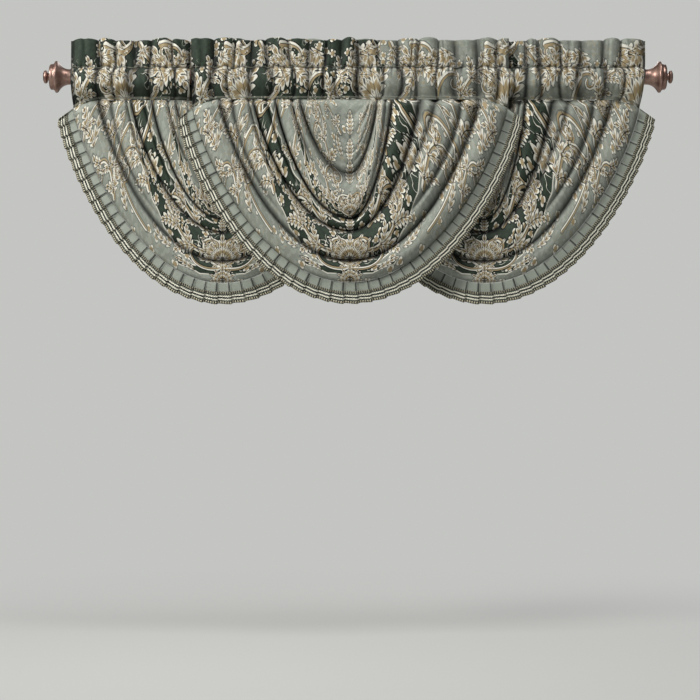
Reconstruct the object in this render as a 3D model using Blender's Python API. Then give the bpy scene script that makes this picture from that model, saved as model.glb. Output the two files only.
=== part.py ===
"""Three waterfall swag valances gathered side by side on one pole with finials.

Blender 4.5, metres, +Z up, +X to the right and -Y towards the viewer.
The origin is on the pole's axis at the middle of its length.
Sizes below are in millimetres, and each mesh is turned into metres as it is made.

Each valance is four sewn pieces: a gathered header with its pole pocket, a
draped swag, a knife-pleated ruffle round the swag's hem, and a braid on the
ruffle. The middle valance hangs in front of the two others.
"""
import math
from collections import Counter, namedtuple

import bmesh
import bpy
import numpy as np

MM = 0.001
FORWARD = (0.0, -1.0, 0.0)

# Pole and finials
POLE_RADIUS = 25.4
POLE_HALF_LENGTH = 962.0
POLE_SIDES = 24
FINIAL_SIDES = 16
JOIN_GAP = 0.3

# Cloth
LAYER = 2.0            # one layer of the header's pocket
FRILL_HALF = 1.5       # half of the two layers sewn together in the frill
SEAM_HALF = 2.2        # half of the header at its lower seam
SWAG_HALF = 1.2
RUFFLE_HALF = 1.0
BRAID_BACK = 1.4       # braid's faces, measured from the middle of the ruffle
BRAID_FRONT = 3.2

# Header
SEAM_HEIGHT = -77.0    # header's lower seam, where the swag is sewn on
SEAM_TURNING = 9.0     # from the pocket's lower end down to that seam
FRILL_UNEVEN = 5.0
UNEVEN_STEP = 1.7      # radians from one gather to the next, for that unevenness
UNEVEN_START = 0.6
CREASE_DIP = 0.8       # how far the top edge dips at a crease, as a share of it
BACK_RIPPLE = 0.4      # depth of the gathers at the back, as a share of the front
HIDDEN_RIPPLE = 0.25   # share of the gathers left in the part behind the middle
TUCK_LENGTH = 60.0     # run over which the outer headers step back
TUCK_LEAD = 10.0       # how far before the pocket's end that step starts
INSET_LENGTH = 110.0   # run over which the header's ends draw in

# Swag
U_POWER = 1.6          # the folds' shape seen from the front
FORWARD_POWER = 1.8    # how a fold comes forward between its two ends
TUCKED_SHARE = 0.12    # share of the folds' depth left behind the middle swag
TUCK_INNER = 0.80      # levels of the middle swag's outline between which
TUCK_OUTER = 1.15      # the outer swags are pressed flat
SUBROWS = 2
LEAST_LEAN = 0.01      # keeps a normal where a corner's two edges are in line

# Ruffle
RUFFLE_ROWS = (0.0, 0.45, 1.0)     # shares of its width; braid on the last step
PLEATS = 43
PLEAT_DEPTH = 7.0
PLEAT_TUCK = 0.35      # where in its width a pleat turns under
PLEAT_STAGGER = 1.5    # how far a pleat's fold stands past the band's edge
PLEAT_AT_SEAM = 0.25   # depth of the pleats where they are sewn down
PLEAT_WANDER = 0.12    # unevenness of the pleats, as a share of their width
WANDER_STEP = 2.1      # radians from one pleat to the next, for that unevenness
RUFFLE_WIDTH_SIDE = 58.0
RUFFLE_WIDTH_LOW = 70.0
RUFFLE_GAP = 0.5
END_TURN = 35.0        # degrees that the ruffle's short ends turn down
END_TURN_POWER = 12    # how close to the ends that turn stays
HEM_SAMPLES = 600
HEM_STEP = 0.004       # half of the step over which the hem's slope is taken

FinialRing = namedtuple("FinialRing", "out radius")
FINIAL_PROFILE = (
    FinialRing(0.0, 0.0),
    FinialRing(0.0, 25.4),
    FinialRing(10.0, 27.0),
    FinialRing(20.0, 31.5),
    FinialRing(29.0, 39.0),
    FinialRing(37.0, 50.5),
    FinialRing(39.5, 52.0),
    FinialRing(45.0, 52.0),
    FinialRing(47.0, 46.0),
    FinialRing(50.0, 45.0),
    FinialRing(51.0, 41.0),
    FinialRing(61.0, 41.0),
    FinialRing(64.0, 38.0),
    FinialRing(65.0, 12.5),
    FinialRing(72.0, 12.5),
    FinialRing(73.0, 17.5),
    FinialRing(77.0, 21.7),
    FinialRing(82.0, 21.0),
    FinialRing(86.0, 15.0),
    FinialRing(87.0, 0.0),
)

# One row for each level of the header's section, from the top edge down.
# front and back are the inner faces of the pocket's two layers, where there
# are two, measured from the pole's axis; ripple is the depth of the gathers;
# inset is how far, of the whole, the header's ends draw in towards the seam.
SectionRow = namedtuple("SectionRow", "name height front back ripple inset")
HEADER_SECTION = (
    SectionRow("top edge", 127.0, None, None, 11.0, 0.0),
    SectionRow("middle of the frill", 82.0, None, None, 9.0, 0.0),
    SectionRow("pocket stitching", 31.0, None, None, 1.5, 0.1),
    SectionRow("shoulder", 18.0, -22.0, 22.0, 6.0, 0.15),
    SectionRow("level with the pole", -2.0, -27.5, 27.5, 8.0, 0.3),
    SectionRow("below the pole", -34.0, -24.5, 14.0, 8.0, 0.6),
    SectionRow("lower end of the pocket", None, None, None, 3.0, 0.9),
    SectionRow("lower seam", None, None, None, 2.0, 1.0),
)
STITCH_ROW = 2
POCKET_END_ROW = 6

# One row for each ridge and crease of a swag, from its top to its hem.
# left and right are the fold's ends on the seam and drop its lowest point.
Fold = namedtuple("Fold", "name left right drop forward")
FOLDS = (
    Fold("top of the swag", -50.0, 50.0, 0.0, 0.0),
    Fold("first ridge", -117.0, 73.0, 167.0, 34.0),
    Fold("first crease", -167.0, 90.0, 250.0, 20.0),
    Fold("second ridge", -207.0, 110.0, 373.0, 72.0),
    Fold("deep crease", -250.0, 140.0, 398.0, 34.0),
    Fold("third ridge", -283.0, 177.0, 420.0, 58.0),
    Fold("third crease", -323.0, 230.0, 440.0, 42.0),
    Fold("wide roll", -357.0, 327.0, 487.0, 86.0),
    Fold("crease over the hem", -437.0, 433.0, 540.0, 58.0),
    Fold("hem roll", -483.0, 483.0, 577.0, 88.0),
    Fold("hem seam", -527.0, 527.0, 610.0, 70.0),
)
FOLD_HALF_WIDTH = 527.0

# How far the header's lower seam falls near its ends.
CornerFall = namedtuple("CornerFall", "from_corner fall")
CORNER_FALLS = (
    CornerFall(0.0, 28.0),
    CornerFall(30.0, 14.0),
    CornerFall(83.0, 0.0),
)

# header and pocket: left and right ends of the header and of the part of it
# that the pole runs through; corner: ends of the swag's seam; lowest: place of
# the swag's lowest point; frill_y and seam_y: depth of those two lines; loose:
# slack behind the pole; tuck: step back behind the middle valance; relief:
# share of the folds' depth; gathers: width of each gather from left to right.
Valance = namedtuple(
    "Valance",
    "name header pocket corner lowest frill_y seam_y loose tuck relief columns gathers",
)
VALANCES = (
    Valance(
        "left", (-958.0, 62.0), (-958.0, -560.0), (-949.0, 53.0), -450.0,
        5.0, 4.0, 4.0, 12.0, 0.5, 18,
        (97, 53, 60, 53, 77, 57, 120, 125, 120, 125, 127),
    ),
    Valance(
        "middle", (-556.0, 502.0), (-556.0, 502.0), (-550.0, 497.0), -27.0,
        -5.0, -14.0, 0.0, 0.0, 1.0, 24,
        (75, 63, 60, 57, 77, 60, 50, 53, 63, 70, 57, 62, 72, 63, 70, 60, 43),
    ),
    Valance(
        "right", (-96.0, 959.0), (505.0, 959.0), (-87.0, 938.0), 420.0,
        5.0, 4.0, 4.0, 28.0, 0.5, 18,
        (120, 115, 122, 119, 120, 52, 51, 73, 63, 70, 60, 83),
    ),
)
MIDDLE = VALANCES[1]


def clear_scene():
    """Remove every object that the file opened with."""
    for item in list(bpy.data.objects):
        bpy.data.objects.remove(item, do_unlink=True)


def make_material(name, color, roughness, metallic=0.0):
    """A plain Principled BSDF material."""
    material = bpy.data.materials.new(name)
    material.use_nodes = True
    shader = material.node_tree.nodes["Principled BSDF"]
    shader.inputs["Base Color"].default_value = (*color, 1.0)
    shader.inputs["Roughness"].default_value = roughness
    shader.inputs["Metallic"].default_value = metallic
    return material


def add_object(name, bm, material, smooth_degrees):
    """Close the bmesh into a named object with its faces pointing out."""
    bmesh.ops.recalc_face_normals(bm, faces=bm.faces[:])
    mesh = bpy.data.meshes.new(name)
    bm.to_mesh(mesh)
    bm.free()
    mesh.materials.append(material)
    mesh.shade_smooth()
    mesh.set_sharp_from_angle(angle=math.radians(smooth_degrees))
    made = bpy.data.objects.new(name, mesh)
    bpy.context.scene.collection.objects.link(made)
    return made


def smooth_step(value):
    """Ease from 0 to 1 as the value goes from 0 to 1."""
    value = min(max(value, 0.0), 1.0)
    return value * value * (3.0 - 2.0 * value)


def mix(first, second, share):
    return first + (second - first) * share


# Pole and finials

def build_pole(material):
    """The round pole that carries the three valances."""
    bm = bmesh.new()
    bmesh.ops.create_cone(
        bm, cap_ends=True, segments=POLE_SIDES, radius1=POLE_RADIUS * MM,
        radius2=POLE_RADIUS * MM, depth=2.0 * POLE_HALF_LENGTH * MM,
    )
    pole = add_object("pole", bm, material, 40.0)
    pole.rotation_euler = (0.0, math.pi / 2.0, 0.0)


def build_finial(name, side, material):
    """A turned finial on one end of the pole; side is -1 or +1."""
    bm = bmesh.new()
    start = POLE_HALF_LENGTH + JOIN_GAP
    ring = [
        bm.verts.new((side * (start + row.out) * MM, 0.0, row.radius * MM))
        for row in FINIAL_PROFILE
    ]
    edges = [bm.edges.new(pair) for pair in zip(ring, ring[1:])]
    bmesh.ops.spin(
        bm, geom=ring + edges, axis=(1.0, 0.0, 0.0), cent=(0.0, 0.0, 0.0),
        angle=2.0 * math.pi, steps=FINIAL_SIDES, use_merge=True,
    )
    bmesh.ops.remove_doubles(bm, verts=bm.verts[:], dist=0.01 * MM)
    add_object(name, bm, material, 35.0)


# Header

def tuck_at(valance, x):
    """Step back, at x, of an outer header where the middle one covers it."""
    past = x - valance.pocket[1] if valance.name == "left" else valance.pocket[0] - x
    return valance.tuck * smooth_step((past + TUCK_LEAD) / TUCK_LENGTH)


def seam_height(valance, x):
    """Height of the header's lower seam, which falls at its two corners."""
    inside = min(x - valance.corner[0], valance.corner[1] - x)
    distances = [row.from_corner for row in CORNER_FALLS]
    falls = [row.fall for row in CORNER_FALLS]
    return SEAM_HEIGHT - float(np.interp(inside, distances, falls))


def inset_knots(valance):
    """Matching places along the header's top and its seam, as two lists."""
    inner = [valance.header[0] + INSET_LENGTH, valance.header[1] - INSET_LENGTH]
    top = [valance.header[0], *inner, valance.header[1]]
    seam = [valance.corner[0], *inner, valance.corner[1]]
    return top, seam


def header_stations(valance):
    """Places along the header as (x, ripple share, unevenness of the top edge)."""
    edges = np.cumsum((valance.header[0],) + valance.gathers)
    edges[-1] = valance.header[1]
    stations = {}
    for index, (start, end) in enumerate(zip(edges, edges[1:])):
        bump = math.sin(UNEVEN_STEP * index + UNEVEN_START)
        stations[round(start, 3)] = (0.0, 0.5 * bump - CREASE_DIP)
        stations[round(mix(start, end, 0.5), 3)] = (1.0, bump)
    stations[round(edges[-1], 3)] = (0.0, -2.0 * CREASE_DIP)
    top, seam = inset_knots(valance)
    for row in CORNER_FALLS[1:]:
        for x in (valance.corner[0] + row.from_corner, valance.corner[1] - row.from_corner):
            stations.setdefault(round(float(np.interp(x, seam, top)), 3), (0.5, 0.0))
    for x in valance.pocket:
        stations.setdefault(round(x, 3), (0.0, 0.0))
    return [(x, *stations[x]) for x in sorted(stations)]


def section_points(valance, x, ripple, uneven):
    """Points of the header's section at x, keyed by row and by face.

    The faces are f, the front; b, the back; m, the middle where the layers are
    sewn together; and fi and bi, the inner faces of the pocket's two layers.
    """
    in_pocket = valance.pocket[0] <= x <= valance.pocket[1]
    ripple *= 1.0 if in_pocket else HIDDEN_RIPPLE
    tuck = tuck_at(valance, x)
    top_x, seam_x = x, float(np.interp(x, *inset_knots(valance)))
    points = {}
    for index, row in enumerate(HEADER_SECTION):
        wave = row.ripple * ripple
        x = mix(top_x, seam_x, row.inset)
        if row.front is not None:
            for face, inner, push in (("f", row.front, -wave),
                                      ("b", row.back + valance.loose + tuck, BACK_RIPPLE * wave)):
                outward = 1.0 + LAYER / math.hypot(inner, row.height)
                points[index, face + "i"] = (x, inner + push, row.height)
                points[index, face] = (x, inner * outward + push, row.height * outward)
            continue
        if index <= STITCH_ROW:
            half = FRILL_HALF
            middle = valance.frill_y + tuck - wave
            height = row.height + (FRILL_UNEVEN * uneven if index == 0 else 0.0)
        else:
            half = SEAM_HALF
            middle = valance.seam_y + tuck - wave
            height = seam_height(valance, seam_x)
            height += SEAM_TURNING if index == POCKET_END_ROW else 0.0
        points[index, "f"] = (x, middle - half, height)
        points[index, "m"] = (x, middle, height)
        points[index, "b"] = (x, middle + half, height)
    return points


def section_cells(in_pocket):
    """Four-sided cells that fill the header's section, by row and face."""
    cells = []
    last = len(HEADER_SECTION) - 1
    for index in range(last):
        upper, lower = index, index + 1
        if upper < STITCH_ROW or upper >= POCKET_END_ROW:
            for outer in ("f", "b"):
                cells.append(((upper, outer), (upper, "m"), (lower, "m"), (lower, outer)))
            continue
        for outer in ("f", "b") if in_pocket else ("b",):
            inner_upper = "m" if upper == STITCH_ROW else outer + "i"
            inner_lower = "m" if lower == POCKET_END_ROW else outer + "i"
            cells.append(
                ((upper, outer), (upper, inner_upper), (lower, inner_lower), (lower, outer))
            )
    return cells


def halves(side):
    """A four-sided side as two triangles, split alike on both faces of a layer.

    Two faces of thin cloth that are split along opposite diagonals pass through
    each other. The diagonal turns at every second station, to suit the gathers.
    """
    start = min(range(4), key=lambda k: (side[k][0], side[k][1] * (-1) ** side[k][0]))
    first, second, third, fourth = side[start:] + side[:start]
    return (first, second, third), (first, third, fourth)


def build_header(valance, material):
    """The gathered heading: frill, pocket round the pole, and lower seam."""
    stations = header_stations(valance)
    sections = [section_points(valance, *station) for station in stations]
    faces = Counter()
    corners = {}
    for index in range(len(stations) - 1):
        middle = 0.5 * (stations[index][0] + stations[index + 1][0])
        in_pocket = valance.pocket[0] <= middle <= valance.pocket[1]
        for cell in section_cells(in_pocket):
            near = [(index, *key) for key in cell]
            far = [(index + 1, *key) for key in cell]
            sides = [near, far]
            for first in range(4):
                second = (first + 1) % 4
                sides.append([near[first], near[second], far[second], far[first]])
            for side in sides:
                faces[frozenset(side)] += 1
                corners[frozenset(side)] = side
    bm = bmesh.new()
    made = {}
    for key, count in faces.items():
        if count > 1:
            continue
        for corner in corners[key]:
            if corner not in made:
                point = sections[corner[0]][corner[1:]]
                made[corner] = bm.verts.new([value * MM for value in point])
        for half in halves(corners[key]):
            bm.faces.new([made[corner] for corner in half])
    add_object(valance.name + "_header", bm, material, 60.0)


# Swag

def fold_at(place):
    """Fold sizes at a place in the table; whole numbers are the table's rows.

    Ridges are round and creases sharp, so the depth follows a quarter of a
    sine that is flat at the ridge.
    """
    index = min(int(place), len(FOLDS) - 2)
    share = place - index
    upper, lower = FOLDS[index], FOLDS[index + 1]
    if upper.forward > lower.forward:
        depth = mix(lower.forward, upper.forward, math.sin(0.5 * math.pi * (1.0 - share)))
    else:
        depth = mix(upper.forward, lower.forward, math.sin(0.5 * math.pi * share))
    return (
        mix(upper.left, lower.left, share),
        mix(upper.right, lower.right, share),
        mix(upper.drop, lower.drop, share),
        depth,
    )


def pressed_share(valance, x, z):
    """Share of an outer swag's fold depth that is left at a point.

    The middle swag's outline is where the level is 1, and it is less inside.
    """
    if valance is MIDDLE:
        return 1.0
    half = 0.5 * (MIDDLE.corner[1] - MIDDLE.corner[0])
    across = (x - MIDDLE.lowest) / half
    down = max(SEAM_HEIGHT - z, 0.0) / FOLDS[-1].drop
    level = across ** 2 + down ** (2.0 / U_POWER)
    return mix(TUCKED_SHARE, 1.0, smooth_step((level - TUCK_INNER) / (TUCK_OUTER - TUCK_INNER)))


def swag_point(valance, across, place):
    """Point on the swag's middle surface.

    across runs from -1 at the fold's left end to 1 at its right end, and place
    runs down the fold table.
    """
    left, right, drop, depth = fold_at(place)
    left_half = (valance.lowest - valance.corner[0]) * -left / FOLD_HALF_WIDTH
    right_half = (valance.corner[1] - valance.lowest) * right / FOLD_HALF_WIDTH
    swing = math.sin(0.5 * math.pi * across)
    hang = max(math.cos(0.5 * math.pi * across), 0.0)
    share = 0.5 * (1.0 + swing)
    x_left = valance.lowest - left_half
    x_right = valance.lowest + right_half
    x = valance.lowest + swing * (left_half if swing < 0.0 else right_half)
    start = mix(seam_height(valance, x_left), seam_height(valance, x_right), share)
    lowest = SEAM_HEIGHT - drop
    z = mix(start, lowest, hang ** U_POWER) - JOIN_GAP
    tuck = mix(tuck_at(valance, x_left), tuck_at(valance, x_right), share)
    forward = valance.relief * depth * hang ** FORWARD_POWER
    y = valance.seam_y + tuck - forward * pressed_share(valance, x, z)
    return x, y, z


def front_normals(points):
    """Unit normals of a grid of points, towards the viewer."""
    down = np.gradient(points, axis=0)
    along = np.gradient(points, axis=1)
    normals = np.cross(down, along)
    normals[:, :, 1] -= LEAST_LEAN
    return normals / np.linalg.norm(normals, axis=2, keepdims=True)


def build_sheet(name, points, normals, back, front, material):
    """Closed sheet between two faces, each at a distance from the points."""
    rows, columns = points.shape[:2]
    layers = [(points + normals * distance) * MM for distance in (back, front)]
    bm = bmesh.new()
    made = [
        [[bm.verts.new(layer[row, column]) for column in range(columns)] for row in range(rows)]
        for layer in layers
    ]
    for layer in made:
        for row in range(rows - 1):
            for column in range(columns - 1):
                bm.faces.new((
                    layer[row][column], layer[row][column + 1],
                    layer[row + 1][column + 1], layer[row + 1][column],
                ))
    rim = [(0, column) for column in range(columns)]
    rim += [(row, columns - 1) for row in range(1, rows)]
    rim += [(rows - 1, column) for column in range(columns - 2, -1, -1)]
    rim += [(row, 0) for row in range(rows - 2, 0, -1)]
    for first, second in zip(rim, rim[1:] + rim[:1]):
        bm.faces.new((
            made[0][first[0]][first[1]], made[0][second[0]][second[1]],
            made[1][second[0]][second[1]], made[1][first[0]][first[1]],
        ))
    add_object(name, bm, material, 50.0)


def build_swag(valance, material):
    """The draped body, hung in U-shaped folds from the header's seam."""
    rows = (len(FOLDS) - 1) * SUBROWS
    points = np.array([
        [
            swag_point(valance, 2.0 * column / valance.columns - 1.0, row / SUBROWS)
            for column in range(valance.columns + 1)
        ]
        for row in range(rows + 1)
    ])
    normals = front_normals(points)
    for seam in (normals[0], normals[:, 0], normals[:, -1]):
        seam[:, 2] = 0.0
        seam /= np.linalg.norm(seam, axis=1, keepdims=True)
    normals[-1] = FORWARD
    build_sheet(valance.name + "_swag", points, normals, -SWAG_HALF, SWAG_HALF, material)


# Ruffle and braid

def hem_stations(valance):
    """Places along the hem as (across, pleat share), two for each pleat.

    The place nearest each of the swag's columns moves onto it, so that the
    ruffle turns where the swag's hem does.
    """
    across = np.linspace(-1.0, 1.0, HEM_SAMPLES + 1)
    last = len(FOLDS) - 1
    curve = np.array([swag_point(valance, place, last) for place in across])
    lengths = np.concatenate(([0.0], np.cumsum(np.linalg.norm(np.diff(curve, axis=0), axis=1))))
    stations = []
    for pleat in range(PLEATS):
        start = pleat + PLEAT_WANDER * math.sin(WANDER_STEP * pleat)
        stations.append((start, 1.0))
        stations.append((start + PLEAT_TUCK, 0.0))
    stations.append((float(PLEATS), 1.0))
    along, shares = np.array(stations).T
    places = np.interp(lengths[-1] * along / PLEATS, lengths, across)
    for column in np.linspace(-1.0, 1.0, valance.columns + 1):
        places[np.argmin(abs(places - column))] = column
    return list(zip(places, shares))


def hem_point(valance, across):
    """Point on the swag's hem as it is built, straight between its columns."""
    last = len(FOLDS) - 1
    place = 0.5 * (across + 1.0) * valance.columns
    column = min(int(place), valance.columns - 1)
    start, end = (
        np.array(swag_point(valance, 2.0 * edge / valance.columns - 1.0, last))
        for edge in (column, column + 1)
    )
    return mix(start, end, place - column)


def ruffle_point(valance, across, pleat, share):
    """Point on the ruffle; share runs from 0 at the seam to 1 at the edge."""
    last = len(FOLDS) - 1
    before = max(across - HEM_STEP, -1.0)
    after = min(across + HEM_STEP, 1.0)
    x, y, z = hem_point(valance, across)
    x_before, _, z_before = swag_point(valance, before, last)
    x_after, _, z_after = swag_point(valance, after, last)
    turn = math.atan2(z_after - z_before, x_after - x_before)
    turn -= math.copysign(math.radians(END_TURN) * abs(across) ** END_TURN_POWER, across)
    width = mix(RUFFLE_WIDTH_SIDE, RUFFLE_WIDTH_LOW, math.cos(0.5 * math.pi * across))
    reach = RUFFLE_GAP + share * (width + PLEAT_STAGGER * (2.0 * pleat - 1.0))
    lift = PLEAT_DEPTH * pleat * mix(PLEAT_AT_SEAM, 1.0, share)
    return x + reach * math.sin(turn), y - lift, z - reach * math.cos(turn)


def build_ruffle_and_braid(valance, ruffle_material, braid_material):
    """The pleated band round the hem, and the braid sewn along its edge."""
    stations = hem_stations(valance)
    points = np.array([
        [ruffle_point(valance, across, pleat, share) for across, pleat in stations]
        for share in RUFFLE_ROWS
    ])
    normals = front_normals(points)
    normals[0] = FORWARD
    build_sheet(
        valance.name + "_ruffle", points, normals,
        -RUFFLE_HALF, RUFFLE_HALF, ruffle_material,
    )
    build_sheet(
        valance.name + "_braid", points[1:], normals[1:],
        BRAID_BACK, BRAID_FRONT, braid_material,
    )


def main():
    clear_scene()
    metal = make_material("rose_bronze", (0.45, 0.22, 0.13), 0.35, 1.0)
    damask = make_material("damask", (0.36, 0.38, 0.24), 0.7)
    damask_dark = make_material("damask_dark", (0.12, 0.15, 0.09), 0.7)
    braid = make_material("braid", (0.72, 0.68, 0.5), 0.8)
    build_pole(metal)
    build_finial("finial_left", -1.0, metal)
    build_finial("finial_right", 1.0, metal)
    for valance in VALANCES:
        build_header(valance, damask)
        build_swag(valance, damask)
        build_ruffle_and_braid(valance, damask_dark, braid)


main()
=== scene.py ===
# %% [markdown]
# # Three waterfall valances on one pole
# A waterfall valance is a short curtain. A gathered header slides on a pole, and
# under it hangs a swag whose folds fall in nested U shapes. A pleated ruffle with
# a woven braid finishes the curved hem. Three of them hang side by side here, and
# the middle one lies over its neighbours.
# The frame holds the sizes, so the box of each solid gives the places below.

# %% Frame, and the size of the solids
import math
from collections import namedtuple

import bmesh
import bpy
import numpy as np
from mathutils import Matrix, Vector


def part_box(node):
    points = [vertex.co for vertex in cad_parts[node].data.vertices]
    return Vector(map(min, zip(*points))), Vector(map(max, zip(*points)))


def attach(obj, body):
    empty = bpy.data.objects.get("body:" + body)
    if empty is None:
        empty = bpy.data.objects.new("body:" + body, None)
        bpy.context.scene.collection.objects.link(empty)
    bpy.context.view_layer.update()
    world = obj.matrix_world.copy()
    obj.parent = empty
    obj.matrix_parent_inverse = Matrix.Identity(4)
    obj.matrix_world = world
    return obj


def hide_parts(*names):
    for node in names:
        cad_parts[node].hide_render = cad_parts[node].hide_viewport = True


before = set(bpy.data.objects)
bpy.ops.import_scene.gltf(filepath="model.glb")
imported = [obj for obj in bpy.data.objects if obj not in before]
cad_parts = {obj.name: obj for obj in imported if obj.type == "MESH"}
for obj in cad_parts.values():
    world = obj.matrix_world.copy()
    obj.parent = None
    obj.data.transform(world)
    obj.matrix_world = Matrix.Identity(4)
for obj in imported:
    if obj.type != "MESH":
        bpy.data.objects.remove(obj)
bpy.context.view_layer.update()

MM = 0.001


def box_mm(node):
    """Lowest and highest corner of a solid, in millimetres."""
    low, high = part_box(node)
    return [1000.0 * value for value in low], [1000.0 * value for value in high]


_, pole_high = box_mm("pole")
POLE_RADIUS = pole_high[2]
print("pole radius", round(POLE_RADIUS, 1), "mm, ends at", round(pole_high[0], 1), "mm")

# %% [markdown]
# ## Easing, mixing and smooth curves
# Cloth has no straight runs. Three small helpers carry most of the shaping: an
# ease between 0 and 1, a mix of two values, and a curve that passes smoothly
# through the rows of a short table.

# %% Easing, mixing and smooth curves


def ease(value):
    """Ease from 0 to 1 as the value goes from 0 to 1."""
    value = np.clip(value, 0.0, 1.0)
    return value * value * (3.0 - 2.0 * value)


def mix(first, second, share):
    return first + (second - first) * share


def through(values, place):
    """Smooth curve through the values; whole places are the values themselves.

    The values are one column for all places, or a column for each place.
    """
    values = np.asarray(values, dtype=float)
    last = len(values) - 1
    index = np.clip(place.astype(int), 0, last - 1)
    share = place - index
    column = (np.arange(len(place)),) if values.ndim == 2 else ()
    before, start, end, after = (
        values[(np.clip(index + step, 0, last), *column)] for step in (-1, 0, 1, 2)
    )
    return 0.5 * (
        2.0 * start + (end - before) * share
        + (2.0 * before - 5.0 * start + 4.0 * end - after) * share ** 2
        + (3.0 * start - before - 3.0 * end + after) * share ** 3
    )


# %% [markdown]
# ## The three valances
# Each row of this table is one valance. Its widths come from the solids' boxes.
# What a box can't say is in the table: how far back its seam lies, how deep its
# folds are, and the width of each gather along its header, from left to right.

# %% The three valances
Valance = namedtuple(
    "Valance", "name lowest pocket frill_y seam_y loose tuck relief gathers"
)
VALANCES = (
    Valance(
        "left", -450.0, (-958.0, -560.0), 5.0, 4.0, 4.0, 12.0, 0.5,
        (97, 53, 60, 53, 77, 57, 60, 60, 62, 62, 63, 62, 60, 62, 63, 64),
    ),
    Valance(
        "middle", -27.0, (-556.0, 502.0), -5.0, -14.0, 0.0, 0.0, 1.0,
        (75, 63, 60, 57, 77, 60, 50, 53, 63, 70, 57, 62, 72, 63, 70, 60, 43),
    ),
    Valance(
        "right", 420.0, (505.0, 959.0), 5.0, 4.0, 4.0, 28.0, 0.5,
        (60, 60, 55, 60, 62, 58, 60, 62, 60, 59, 52, 51, 73, 63, 70, 60, 83),
    ),
)
MIDDLE = VALANCES[1]


def side_ends(node_name):
    """Left and right end of a solid."""
    low, high = box_mm(node_name)
    return low[0], high[0]


SEAM_GAP = 0.3    # between the solids of a header and its swag
SEAM_HEIGHT = box_mm("middle_swag")[1][2] + SEAM_GAP
FRILL_TOP = 127.0
ends = {valance.name: side_ends(valance.name + "_header") for valance in VALANCES}
corners = {valance.name: side_ends(valance.name + "_swag") for valance in VALANCES}
print("seam at", round(SEAM_HEIGHT, 1), "mm")

# %% [markdown]
# ## Where the seams run
# The header's lower seam is level, and falls near its two corners. Behind the
# middle valance the outer two step back, so that nothing cuts through.

# %% Where the seams run
CORNER_REACH = (0.0, 15.0, 30.0, 55.0, 83.0)
CORNER_FALL = (28.0, 20.5, 14.0, 5.5, 0.0)
TUCK_LENGTH = 60.0
TUCK_LEAD = 55.0
INSET_LENGTH = 110.0


def tuck_at(valance, x):
    past = x - valance.pocket[1] if valance.name == "left" else valance.pocket[0] - x
    return valance.tuck * ease((past + TUCK_LEAD) / TUCK_LENGTH)


def seam_height(valance, x):
    left, right = corners[valance.name]
    inside = np.minimum(x - left, right - x)
    return SEAM_HEIGHT - np.interp(inside, CORNER_REACH, CORNER_FALL)


def seam_place(valance, x):
    """Place on the seam below a place on the header's top."""
    left, right = ends[valance.name]
    low, high = corners[valance.name]
    inner = (left + INSET_LENGTH, right - INSET_LENGTH)
    return np.interp(x, (left, *inner, right), (low, *inner, high))


# %% [markdown]
# ## Gathers
# A header is wider than its pole, so its cloth stands in soft rolls with a tight
# crease between each two. The roll is a rounded bump, and no two are alike, so
# each gets its own depth and lean from sines of its number. Many rolls have a
# dent along the top, where the cloth is about to fold again.

# %% Gathers
ROLL_POWER = 0.6     # less makes a roll fuller
ROLL_SKEW = 0.16
ROLL_LEAST = 0.6     # the flattest roll beside the deepest
DENT_DEPTH = 0.26
DENT_WIDTH = 0.09
DENT_WANDER = 0.12


def gather_edges(valance):
    left, right = ends[valance.name]
    widths = np.array(valance.gathers, dtype=float)
    return left + (right - left) * np.concatenate(([0.0], np.cumsum(widths))) / widths.sum()


def gather_roll(valance, x):
    """Roll of the gathers at x: depth from 0 at a crease to 1, and its number."""
    edges = gather_edges(valance)
    index = np.clip(np.searchsorted(edges, x, side="right") - 1, 0, len(edges) - 2)
    share = (x - edges[index]) / (edges[index + 1] - edges[index])
    skew = 0.5 + ROLL_SKEW * np.sin(2.3 * index + 0.4)
    bent = np.where(share < skew, 0.5 * share / skew, 0.5 + 0.5 * (share - skew) / (1.0 - skew))
    height = mix(ROLL_LEAST, 1.0, 0.5 + 0.5 * np.sin(1.7 * index + 0.6))
    wide = np.sin(math.pi * np.clip(bent, 0.0, 1.0)) ** ROLL_POWER
    dent = DENT_DEPTH * (0.5 + 0.5 * np.sin(2.9 * index + 1.0))
    dent_middle = 0.5 + DENT_WANDER * np.sin(4.1 * index)
    narrow = np.exp(-((bent - dent_middle) / DENT_WIDTH) ** 2)
    return (wide - dent * narrow) * height, index


# %% [markdown]
# ## One function for every sheet of cloth
# A flat grid from `create_grid` is the cut cloth. Mapping its points to where
# they hang keeps the order of the grid, so the same two shares also give the UV
# map, in metres of cloth, and any painted attribute. Where a sheet is given a
# thickness, Solidify adds it at the end.

# %% One function for every sheet of cloth


def add_object(name, data):
    made = bpy.data.objects.new(name, data)
    bpy.context.scene.collection.objects.link(made)
    return made


def add_mesh_object(name, bm):
    """The bmesh as an object of the scene."""
    mesh = bpy.data.meshes.new(name)
    bm.to_mesh(mesh)
    bm.free()
    return add_object(name, mesh)


def cloth_grid(name, columns, rows, thickness=0.0):
    """A unit grid as a mesh object, with the shares of its points."""
    bm = bmesh.new()
    bmesh.ops.create_grid(bm, x_segments=columns, y_segments=rows, size=0.5)
    piece = add_mesh_object(name, bm)
    flat = np.empty(3 * len(piece.data.vertices))
    piece.data.vertices.foreach_get("co", flat)
    flat = flat.reshape(-1, 3)
    if thickness:
        solid = piece.modifiers.new("Thickness", "SOLIDIFY")
        solid.thickness = thickness * MM
        solid.offset = 0.0
    return piece, flat[:, 0] + 0.5, 0.5 - flat[:, 1]


def hang(piece, points):
    """Put the grid's points where the cloth hangs; the front side faces -Y."""
    mesh = piece.data
    mesh.vertices.foreach_set("co", (np.asarray(points) * MM).ravel())
    mesh.shade_smooth()
    mesh.update()


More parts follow.
